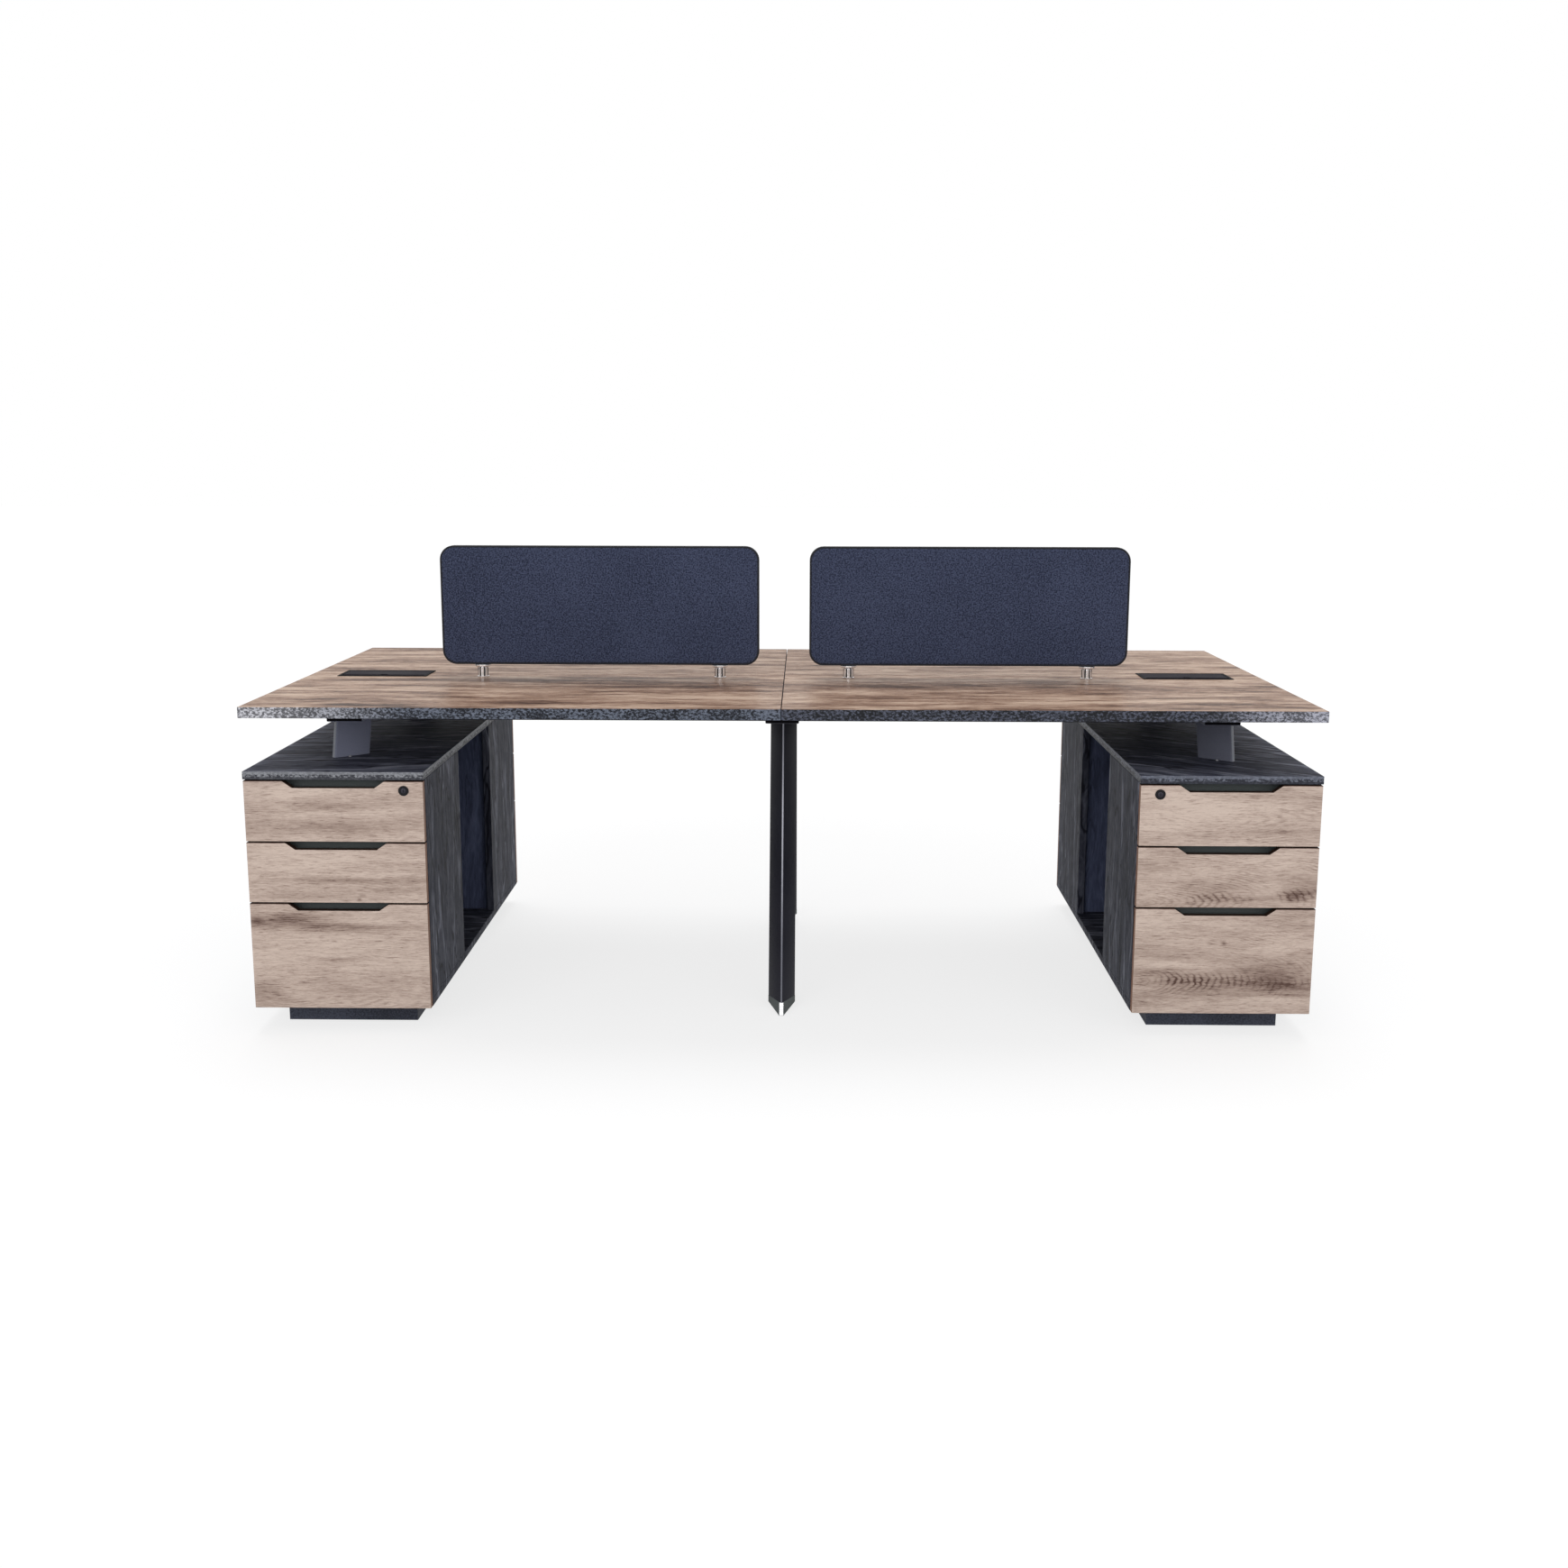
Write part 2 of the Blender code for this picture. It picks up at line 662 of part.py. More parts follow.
def drawer_lock(name, sx, sy):
    """Collar on the facia, barrel through it and a cam behind it that swings up to lock."""
    x, face = sx * LOCK_X, sy * FACE_Y
    back = FACE_Y - FACE_THICK - CAM_STANDOFF - CAM_THICK
    barrel = cylinder(f"lock_barrel_{name}", LOCK_BARREL_RADIUS, (x, sy * back, LOCK_Z), (x, face, LOCK_Z))
    collar_low, collar_high = sy * (FACE_Y + GAP), sy * (FACE_Y + GAP + LOCK_COLLAR_THICK)
    lock = cylinder(
        f"drawer_lock_{name}",
        LOCK_COLLAR_RADIUS,
        (x, collar_low, LOCK_Z),
        (x, collar_high, LOCK_Z),
    )
    HELPERS.objects.unlink(lock)
    PARTS.objects.link(lock)
    lock.hide_render = False
    lock.display_type = "TEXTURED"
    lock.data.materials.append(DARK_STEEL)
    neck = cylinder(
        f"lock_neck_{name}",
        LOCK_BARREL_RADIUS * 0.9,
        (x, sy * (FACE_Y - OVERLAP), LOCK_Z),
        (x, sy * (FACE_Y + GAP + LOCK_COLLAR_THICK / 2), LOCK_Z),
    )
    cam = box(
        f"lock_cam_{name}",
        tuple(sorted((x, x + sx * CAM_REACH))),
        span(sy, back + GAP, back + CAM_THICK),
        (LOCK_Z - CAM_HEIGHT / 2, LOCK_Z + CAM_HEIGHT / 2),
    )
    slot = box(
        f"key_slot_{name}",
        (x - LOCK_SLOT_WIDTH / 2, x + LOCK_SLOT_WIDTH / 2),
        span(sy, collar_high * sy - LOCK_SLOT_DEPTH, collar_high * sy + OVERLAP),
        (LOCK_Z - LOCK_SLOT_LENGTH / 2, LOCK_Z + LOCK_SLOT_LENGTH / 2),
    )
    join(lock, neck, barrel, cam)
    cut(lock, slot)
    return lock


def drawers(sx, sy):
    """Three drawers of one stack, each under an empty that slides along Y, and the stack's lock."""
    corner = f"{END_NAMES[sy]}_{SIDE_NAMES[sx]}"
    for level, face_low, face_high in levels():
        name = f"{corner}_{level}"
        slide = bpy.data.objects.new("slide_" + name, None)
        slide.location = (sx * CABINET_CENTRE, sy * FACE_Y, face_low)
        PARTS.objects.link(slide)
        bpy.context.view_layer.update()
        pieces = [
            drawer_facia(name, sx, sy, face_low, face_high, level == "upper"),
            drawer_tub(name, sx, sy, face_low, face_high),
        ]
        if level == "upper":
            pieces.append(drawer_lock(corner, sx, sy))
        for piece in pieces:
            piece.parent = slide
            piece.matrix_parent_inverse = slide.matrix_world.inverted()


def riser(sx, sy):
    """Flat steel tube set across the corner and leaning in, under a short beam along Y."""
    name = f"riser_{END_NAMES[sy]}_{SIDE_NAMES[sx]}"
    x = sx * PORT_X
    beam = box(
        name,
        (x - SIDE_BEAM_WIDTH / 2, x + SIDE_BEAM_WIDTH / 2),
        span(sy, BEAM_BACK, BEAM_FRONT),
        (BEAM_BOTTOM, BEAM_BOTTOM + BEAM_HEIGHT),
        GREY_STEEL,
    )
    soften(beam, BEAM_EDGE, 2)
    foot = CABINET_HEIGHT + GAP
    half = Vector((RISER_WIDTH, RISER_THICK, BEAM_BOTTOM + BEAM_EDGE * 2 - foot)) / 2
    bm = box_bmesh(-half, half, (0, 0, 0))
    round_edges_along(bm, 2, RISER_EDGE, 3)
    turn = Matrix.Rotation(sx * sy * RISER_TURN, 3, "Z")
    bmesh.ops.rotate(bm, cent=(0, 0, 0), matrix=turn, verts=bm.verts)
    middle = (x, sy * RISER_Y, foot + half.z)
    tube = add_object("tube_" + name, finish_mesh(bm, name), None, HELPERS, middle)
    tube.hide_render = True
    tube.display_type = "WIRE"
    shear_back(tube, sy, foot, LEAN)
    join(beam, tube)
    return beam


def rounded_outline(corners, steps=4):
    """A closed outline whose corners, given as (x, y, radius), are rounded into arcs."""
    outline = []
    for i, (x, y, radius) in enumerate(corners):
        corner = Vector((x, y))
        before = (Vector(corners[i - 1][:2]) - corner).normalized()
        after = (Vector(corners[(i + 1) % len(corners)][:2]) - corner).normalized()
        half_angle = before.angle(after) / 2
        centre = corner + (before + after).normalized() * radius / math.sin(half_angle)
        start = corner + before * radius / math.tan(half_angle) - centre
        end = corner + after * radius / math.tan(half_angle) - centre
        turn = start.angle_signed(end)
        for step in range(steps + 1):
            outline.append(tuple(centre + Matrix.Rotation(-turn * step / steps, 2) @ start))
    return outline


def leg_outline(sy):
    """The leg's horizontal section at the height of its foot cap: sharp ridge out, flat back in."""
    ridge = sy * LEG_RIDGE_Y
    half, back = LEG_WIDTH / 2, LEG_BACK_WIDTH / 2
    return [
        (0, ridge, LEG_RIDGE_RADIUS),
        (half, ridge - sy * LEG_NOSE, LEG_SIDE_RADIUS),
        (back, ridge - sy * LEG_DEPTH, LEG_SIDE_RADIUS),
        (-back, ridge - sy * LEG_DEPTH, LEG_SIDE_RADIUS),
        (-half, ridge - sy * LEG_NOSE, LEG_SIDE_RADIUS),
    ]


def centre_frame():
    """Beam under the middle seam on two leaning legs of V section."""
    beam = box(
        "centre_frame",
        (-CENTRE_BEAM_WIDTH / 2, CENTRE_BEAM_WIDTH / 2),
        (-BEAM_FRONT, BEAM_FRONT),
        (BEAM_BOTTOM, BEAM_BOTTOM + BEAM_HEIGHT),
        DARK_STEEL,
    )
    soften(beam, BEAM_EDGE, 2)
    for sy in (FRONT, REAR):
        leg = outline_prism(
            f"leg_{END_NAMES[sy]}",
            rounded_outline(leg_outline(sy)),
            CAP_HEIGHT,
            BEAM_BOTTOM + BEAM_HEIGHT / 2,
        )
        shear_back(leg, sy, CAP_HEIGHT, LEAN)
        join(beam, leg)
    return beam


def foot_cap(sy):
    """Pointed foot under a leg: its sides draw in to a narrow sole behind a flat nose."""
    slope = math.tan(LEAN)
    sharp = leg_outline(sy)
    inset = LEG_RIDGE_Y - CAP_INSET
    half_nose = CAP_NOSE_WIDTH / 2
    nose_back = half_nose * LEG_NOSE / (LEG_WIDTH / 2)
    points = []
    for height in (CAP_HEIGHT - GAP, CAP_HEIGHT - CAP_SKIRT):
        drop = sy * slope * (CAP_HEIGHT - height)
        for x, y, _ in sharp[1:]:
            points.append((x - math.copysign(CAP_INSET, x), y + drop, height))
    for side in (LEFT, RIGHT):
        for height in (CAP_HEIGHT - GAP, 0):
            drop = slope * (CAP_HEIGHT - height)
            points.append((side * half_nose, sy * (inset - nose_back + drop), height))
        sole_back = inset - nose_back + slope * CAP_HEIGHT - CAP_SOLE_LENGTH
        points.append((side * CAP_SOLE_WIDTH / 2, sy * sole_back, 0))
    bm = bmesh.new()
    for point in points:
        bm.verts.new(point)
    hull = bmesh.ops.convex_hull(bm, input=bm.verts)
    bmesh.ops.delete(bm, geom=hull["geom_interior"], context="VERTS")
    name = f"foot_cap_{END_NAMES[sy]}"
    return add_object(name, finish_mesh(bm, name), FOOT_PLASTIC, PARTS)


def cable_tray():
    """Folded trough hung under the beams, for the cables from both ports."""
    half, lip = TRAY_HALF_WIDTH, TRAY_HALF_WIDTH - TRAY_LIP
    high, low = BEAM_BOTTOM - GAP, BEAM_BOTTOM - GAP - TRAY_DEPTH
    profile = [(-lip, high), (-half, high), (-half, low), (half, low), (half, high), (lip, high)]
    bm = bmesh.new()
    start = [bm.verts.new((-TRAY_HALF_LENGTH, y, z)) for y, z in profile]
    edges = [bm.edges.new(pair) for pair in zip(start, start[1:])]
    swept = bmesh.ops.extrude_edge_only(bm, edges=edges)["geom"]
    moved = [item for item in swept if isinstance(item, bmesh.types.BMVert)]
    bmesh.ops.translate(bm, vec=(2 * TRAY_HALF_LENGTH, 0, 0), verts=moved)
    mesh = bpy.data.meshes.new("cable_tray")
    bm.to_mesh(mesh)
    bm.free()
    tray = add_object("cable_tray", mesh, DARK_STEEL, PARTS)
    shell = tray.modifiers.new("sheet", "SOLIDIFY")
    shell.thickness = TRAY_WALL
    shell.offset = 1.0
    shell.use_even_offset = True
    return tray


def screen(sx):
    """Upholstered panel with rounded corners, standing in front of the seam."""
    half = Vector((SCREEN_LENGTH, SCREEN_THICK, SCREEN_HEIGHT)) / 2
    bm = box_bmesh(-half, half, (0, 0, 0))
    round_edges_along(bm, 1, SCREEN_CORNER, 8)
    name = f"screen_{SIDE_NAMES[sx]}"
    location = (sx * SCREEN_X, -SCREEN_FROM_SEAM, SCREEN_LOW + half.z)
    panel = add_object(name, finish_mesh(bm, name), FABRIC, PARTS, location)
    soften(panel, SCREEN_EDGE, 2)
    smooth(panel)
    return panel


def screen_post(sx, place, offset):
    """Turned chrome post between a desktop and a screen, with a flared head."""
    height = SCREEN_LIFT - 2 * GAP
    flare_low = height - POST_HEAD_THICK - POST_FLARE
    profile = [
        (0, height),
        (POST_HEAD_RADIUS, height),
        (POST_HEAD_RADIUS, height - POST_HEAD_THICK),
        (POST_RADIUS, flare_low),
        (POST_RADIUS, POST_FOOT_THICK),
        (POST_FOOT_RADIUS, POST_FOOT_THICK),
        (POST_FOOT_RADIUS, 0),
        (0, 0),
    ]
    name = f"screen_post_{SIDE_NAMES[sx]}_{place}"
    mesh = bpy.data.meshes.new(name)
    mesh.from_pydata([(r, 0, z) for r, z in profile], [(i, i + 1) for i in range(len(profile) - 1)], [])
    location = (sx * (SCREEN_X + offset), -SCREEN_FROM_SEAM, DESK_HEIGHT + GAP)
    post = add_object(name, mesh, CHROME, PARTS, location)
    turn = post.modifiers.new("turned", "SCREW")
    turn.axis = "Z"
    turn.steps = turn.render_steps = 32
    turn.use_merge_vertices = True
    turn.merge_threshold = 0.00001
    turn.use_smooth_shade = True
    return post


def build():
    for sx in (LEFT, RIGHT):
        cable_box(sx)
        cable_lid(sx)
        cabinet_top(sx)
        cabinet_base(sx)
        outer_side(sx)
        screen(sx)
        screen_post(sx, "outer", POST_SPACING / 2)
        screen_post(sx, "inner", -POST_SPACING / 2)
        for sy in (FRONT, REAR):
            desktop(sx, sy)
            inner_side(sx, sy)
            drawers(sx, sy)
            riser(sx, sy)
    centre_frame()
    cable_tray()
    for sy in (FRONT, REAR):
        foot_cap(sy)


build()
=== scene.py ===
"""Looks of the back-to-back workstation: finishes, upholstery, small trims and the studio.

Metres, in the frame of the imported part: X runs along the workstation, the front user sits at -Y
and +Z is up. Left means -X and rear means +Y.
"""

from __future__ import annotations

import json
import logging
import math
import random
from dataclasses import dataclass, field
from enum import Enum, IntEnum
from functools import partial
from typing import Callable, Mapping, Optional, Sequence, Union

import bmesh
import bpy
from mathutils import Matrix, Vector

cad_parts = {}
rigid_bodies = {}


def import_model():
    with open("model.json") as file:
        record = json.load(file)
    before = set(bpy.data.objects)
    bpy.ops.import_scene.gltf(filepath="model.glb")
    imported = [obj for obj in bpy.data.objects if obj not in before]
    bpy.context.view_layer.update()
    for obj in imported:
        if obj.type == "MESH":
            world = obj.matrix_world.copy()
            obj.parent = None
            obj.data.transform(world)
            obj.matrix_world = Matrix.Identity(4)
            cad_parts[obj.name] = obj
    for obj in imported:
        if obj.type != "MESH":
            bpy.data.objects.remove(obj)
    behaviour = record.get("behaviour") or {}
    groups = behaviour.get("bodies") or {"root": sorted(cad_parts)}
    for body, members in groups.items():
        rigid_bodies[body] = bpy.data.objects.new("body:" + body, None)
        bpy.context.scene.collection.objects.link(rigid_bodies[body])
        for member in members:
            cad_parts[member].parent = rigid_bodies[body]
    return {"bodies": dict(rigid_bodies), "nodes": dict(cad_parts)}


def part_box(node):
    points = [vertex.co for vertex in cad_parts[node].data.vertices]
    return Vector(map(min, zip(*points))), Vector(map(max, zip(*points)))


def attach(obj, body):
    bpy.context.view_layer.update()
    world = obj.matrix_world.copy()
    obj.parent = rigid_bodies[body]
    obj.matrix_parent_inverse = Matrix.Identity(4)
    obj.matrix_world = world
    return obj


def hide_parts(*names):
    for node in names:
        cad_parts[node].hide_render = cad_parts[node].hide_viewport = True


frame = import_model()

LOG = logging.getLogger("workstation")
CARCASS = "carcass"
FULL_TURN = 2 * math.pi
# A face looks along an axis when its normal has more than this share of it.
FACING = 0.6
# How a node of the part is smoothed: vertices this near are one, and sharper edges stay.
WELD_REACH = 0.00001
SHARP_ANGLE = 32.0

Colour = tuple[float, float, float, float]
Point = tuple[float, float, float]
Span = tuple[float, float]
Outline = Sequence[tuple[float, float]]
Stops = Sequence[tuple[float, Colour]]
Picker = Callable[[Vector, Vector], int]
Ring = Sequence[bmesh.types.BMVert]

WHITE: Colour = (1.0, 1.0, 1.0, 1.0)


class Half(Enum):
    """One of two mirrored halves; its value is its sign along its axis."""

    @property
    def label(self) -> str:
        """The word that nodes and bodies use for it."""
        return self.name.lower()


class Side(Half):
    """Which half of the workstation along X."""

    LEFT = -1
    RIGHT = 1


class End(Half):
    """Which user's half along Y."""

    FRONT = -1
    REAR = 1


class Level(Enum):
    """A drawer's place in its stack."""

    LOWER = "lower"
    MIDDLE = "middle"
    UPPER = "upper"


class GrainAxis(Enum):
    """The axis that a board's grain runs along."""

    X = 0
    Z = 2


class BoardFace(IntEnum):
    """A face of a desktop, cabinet top or facia, in the order of its finishes."""

    SHOW = 0
    EDGE = 1
    BACK = 2
    TOP_EDGE = 3


class BaseFace(IntEnum):
    """A face of a cabinet's bottom board, in the order of its finishes."""

    UPRIGHT = 0
    FLAT = 1
    PLINTH = 2


class WallFace(IntEnum):
    """A face of a cabinet's side, in the order of its finishes."""

    WOOD = 0
    NICHE = 1
    CHANNEL = 2


class SteelFace(IntEnum):
    """A face of a coated steel part, in the order of its finishes."""

    PLAIN = 0
    RUBBED = 1


class PostFace(IntEnum):
    """A face of a screen's post, in the order of its finishes."""

    CHROME = 0
    FLUTE = 1


class Shading(Enum):
    """How a new piece is shaded: edges flatter than its degrees look smooth."""

    FACETED = 0
    TURNED = 40
    MOULDED = 50
    STUFFED = 60


def srgb(red: float, green: float, blue: float) -> Colour:
    """Turns a display colour into the linear colour that a shader takes.

    Args:
        red: Red, 0 to 255.
        green: Green, 0 to 255.
        blue: Blue, 0 to 255.

    Returns:
        The linear colour with an alpha of 1.
    """

    def linear(value: float) -> float:
        """One channel in linear light, by the standard curve of display colours."""
        share = value / 255
        return share / 12.92 if share <= 0.04045 else ((share + 0.055) / 1.055) ** 2.4

    return (linear(red), linear(green), linear(blue), 1.0)


def shaded(colour: Colour, share: float) -> Colour:
    """A colour made darker, or brighter above 1, by a share."""
    return tuple(channel * share for channel in colour[:3]) + (1.0,)


class Field:
    """A value that varies over a surface: one socket, with the operators of shader maths."""

    def __init__(self, shader: Shader, socket: Optional[bpy.types.NodeSocket]) -> None:
        """Wraps an output socket of a shader's nodes."""
        self.shader = shader
        self.socket = socket

    def __add__(self, other: Number) -> Field:
        """Sum."""
        return self.shader.math("ADD", self, other)

    __radd__ = __add__

    def __mul__(self, other: Number) -> Field:
        """Product."""
        return self.shader.math("MULTIPLY", self, other)

    __rmul__ = __mul__

    def __sub__(self, other: Number) -> Field:
        """Difference."""
        return self.shader.math("SUBTRACT", self, other)

    def __rsub__(self, other: Number) -> Field:
        """Difference from a number."""
        return self.shader.math("SUBTRACT", other, self)

    def __truediv__(self, other: Number) -> Field:
        """Quotient."""
        return self.shader.math("DIVIDE", self, other)

    def __pow__(self, other: Number) -> Field:
        """Power."""
        return self.shader.math("POWER", self, other)


Number = Union[float, Field]
Paint = Union[Colour, Field]
Place = tuple[Field, ...]
Socket = Union[str, int]


class Shader:
    """The node tree of one material or world, built from Python expressions."""

    mix_low: int = 6
    mix_high: int = 7
    mix_result: int = 2

    def __init__(self, owner: Union[bpy.types.Material, bpy.types.World]) -> None:
        """Starts an empty tree.

        Args:
            owner: The material or world that the tree shades.
        """
        owner.use_nodes = True
        self.owner = owner
        self.tree = owner.node_tree
        self.tree.nodes.clear()

    def node(
        self,
        kind: str,
        settings: Optional[Mapping[str, object]] = None,
        inputs: Optional[Mapping[Socket, object]] = None,
        output: Socket = 0,
    ) -> Field:
        """Adds one node.

        Args:
            kind: Blender's name of the node type.
            settings: Properties to set first; "stops" are a ramp's (place, colour) pairs.
            inputs: Values or fields for its sockets, by name or number.
            output: Which output to hand back.

        Returns:
            That output as a field; the output node of a tree has none and gives an empty one.
        """
        node = self.tree.nodes.new(kind)
        for key, value in (settings or {}).items():
            if key == "stops":
                self.set_stops(node.color_ramp, value)
            else:
                setattr(node, key, value)
        for key, value in (inputs or {}).items():
            if isinstance(value, Field):
                self.tree.links.new(value.socket, node.inputs[key])
            else:
                node.inputs[key].default_value = value
        return Field(self, node.outputs[output] if node.outputs else None)

    @staticmethod
    def set_stops(ramp: bpy.types.ColorRamp, stops: Stops) -> None:
        """Sets a colour ramp's stops in order.

        Args:
            ramp: The ramp of a new node, which has two stops.
            stops: The (place, colour) pairs that it gets.
        """
        while len(ramp.elements) < len(stops):
            ramp.elements.new(1.0)
        for element, (place, colour) in zip(ramp.elements, stops):
            element.position = place
            element.color = colour

    def outputs(self, first: Field, names: Sequence[Socket]) -> Place:
        """Hands back several outputs, by name or number, of the node that a field comes from."""
        return tuple(Field(self, first.socket.node.outputs[name]) for name in names)

    def math(self, operation: str, a: Number, b: Number = 0.0) -> Field:
        """One Math node with its operation and one or two values."""
        return self.node("ShaderNodeMath", {"operation": operation}, {0: a, 1: b})

    def ease(self, value: Number, band: Span, to: Span = (0.0, 1.0)) -> Field:
        """Maps a band of a value softly to a range, and stays at its ends outside.

        Args:
            value: What is mapped.
            band: Where the range starts and ends.
            to: What the ends of the band become.

        Returns:
            The mapped value.
        """
        ends = {"From Min": band[0], "From Max": band[1], "To Min": to[0], "To Max": to[1]}
        settings = {"interpolation_type": "SMOOTHSTEP"}
        return self.node("ShaderNodeMapRange", settings, {"Value": value, **ends})

    def noise(
        self, x: Number, y: Number, z: Number = 0.0, detail: float = 2.0, rough: float = 0.5
    ) -> Field:
        """Smooth noise at a point whose unit is the size of its blotches.

        Args:
            x: The point's first coordinate.
            y: Its second.
            z: Its third.
            detail: How many finer layers are added.
            rough: How strong each finer layer is.

        Returns:
            The noise, 0 to 1.
        """
        point = self.node("ShaderNodeCombineXYZ", None, {0: x, 1: y, 2: z})
        inputs = {"Vector": point, "Scale": 1.0, "Detail": detail, "Roughness": rough}
        return self.node("ShaderNodeTexNoise", None, inputs)

    def speckle(
        self,
        place: Place,
        scale: Union[float, Point],
        detail: float = 2.0,
        rough: float = 0.5,
    ) -> Field:
        """Smooth noise of 0 to 1 over the surface, with its blotches to a metre."""
        scales = scale if isinstance(scale, tuple) else (scale,) * 3
        return self.noise(*(at * size for at, size in zip(place, scales)), detail, rough)

    def ramp(self, value: Number, stops: Stops) -> Field:
        """Colours a value by a ramp's stops."""
        return self.node("ShaderNodeValToRGB", {"stops": stops}, {0: value})

    def mix(self, share: Number, low: Paint, high: Paint) -> Field:
        """Mixes two colours; a share of 1 is all of the second."""
        inputs = {0: share, self.mix_low: low, self.mix_high: high}
        return self.node("ShaderNodeMix", {"data_type": "RGBA"}, inputs, self.mix_result)

    def place(self) -> Place:
        """The point on the surface at rest, in the part's frame, as three fields."""
        point = self.node("ShaderNodeTexCoord", output="Object")
        return self.outputs(self.node("ShaderNodeSeparateXYZ", None, {0: point}), "XYZ")

    def surface(
        self,
        colour: Paint,
        roughness: Number,
        metallic: float = 0.0,
        shine: float = 0.5,
        relief: Optional[Field] = None,
        relief_height: float = 0.0,
        sheen: float = 0.0,
    ) -> None:
        """Ends the tree in a Principled surface.

        Args:
            colour: Base colour.
            roughness: Roughness.
            metallic: 1 for bare metal.
            shine: How strongly the surface mirrors, 0.5 for plain plastic.
            relief: Height of the surface's relief, 0 to 1.
            relief_height: What 1 of the relief is, in metres.
            sheen: How strongly cloth glows at its edges.
        """
        inputs = {
            "Base Color": colour,
            "Roughness": roughness,
            "Metallic": metallic,
            "Specular IOR Level": shine,
            "Sheen Weight": sheen,
        }
        if relief is not None:
            bump = {"Distance": relief_height, "Height": relief}
            inputs["Normal"] = self.node("ShaderNodeBump", None, bump)
        shade = self.node("ShaderNodeBsdfPrincipled", None, inputs)
        self.node("ShaderNodeOutputMaterial", None, {0: shade})


class Finish:
    """A finish makes its material once and hands out the same one after that."""

    made: dict[str, bpy.types.Material] = {}
    name: str

    def build(self, shader: Shader) -> None:
        """Makes the surface in an empty tree."""
        raise NotImplementedError

    def material(self) -> bpy.types.Material:
        """Makes the finish's material, or finds the one made before.

        Returns:
            The material.
        """
        if self.name not in Finish.made:
            shader = Shader(bpy.data.materials.new(self.name))
            self.build(shader)
            Finish.made[self.name] = shader.owner
        return Finish.made[self.name]


@dataclass(frozen=True)
class Patch:
    """A darker (or, below 0, lighter) patch in the wood, in metres along and across the grain."""

    along: float
    across: float
    length: float
    width: float
    depth: float

    def over(self, shader: Shader, along: Field, level: Field) -> Field:
        """The patch's darkness, fading softly from its middle.

        Args:
            shader: The tree it is made in.
            along: How far along the grain.
            level: How far across it.

        Returns:
            How much darker the wood is there.
        """
        u = (along - self.along) / self.length
        v = (level - self.across) / self.width
        return shader.math("EXPONENT", (u * u + v * v) * -1.0) * self.depth


@dataclass(frozen=True)
class Layer:
    """One layer of noise in wood: blotches to a metre along and across the grain."""

    along: float
    across: float
    shift: float = 0.0
    detail: float = 2.0
    rough: float = 0.5

    def over(self, shader: Shader, along: Field, level: Field, seed: float) -> Field:
        """The layer's noise, 0 to 1, at a place on a flat board with a seed of its own."""
        x, y = along * self.along, level * self.across
        return shader.noise(x, y, seed + self.shift, self.detail, self.rough)

    def inside(self, shader: Shader, place: Place, seed: float = 0.0) -> Field:
        """The layer's noise, 0 to 1, at a place in solid wood with a seed of its own."""
        x, y, z = place[0] * self.along, place[1] * self.across, place[2] * self.across
        return shader.noise(x, y, z + seed + self.shift, self.detail, self.rough)


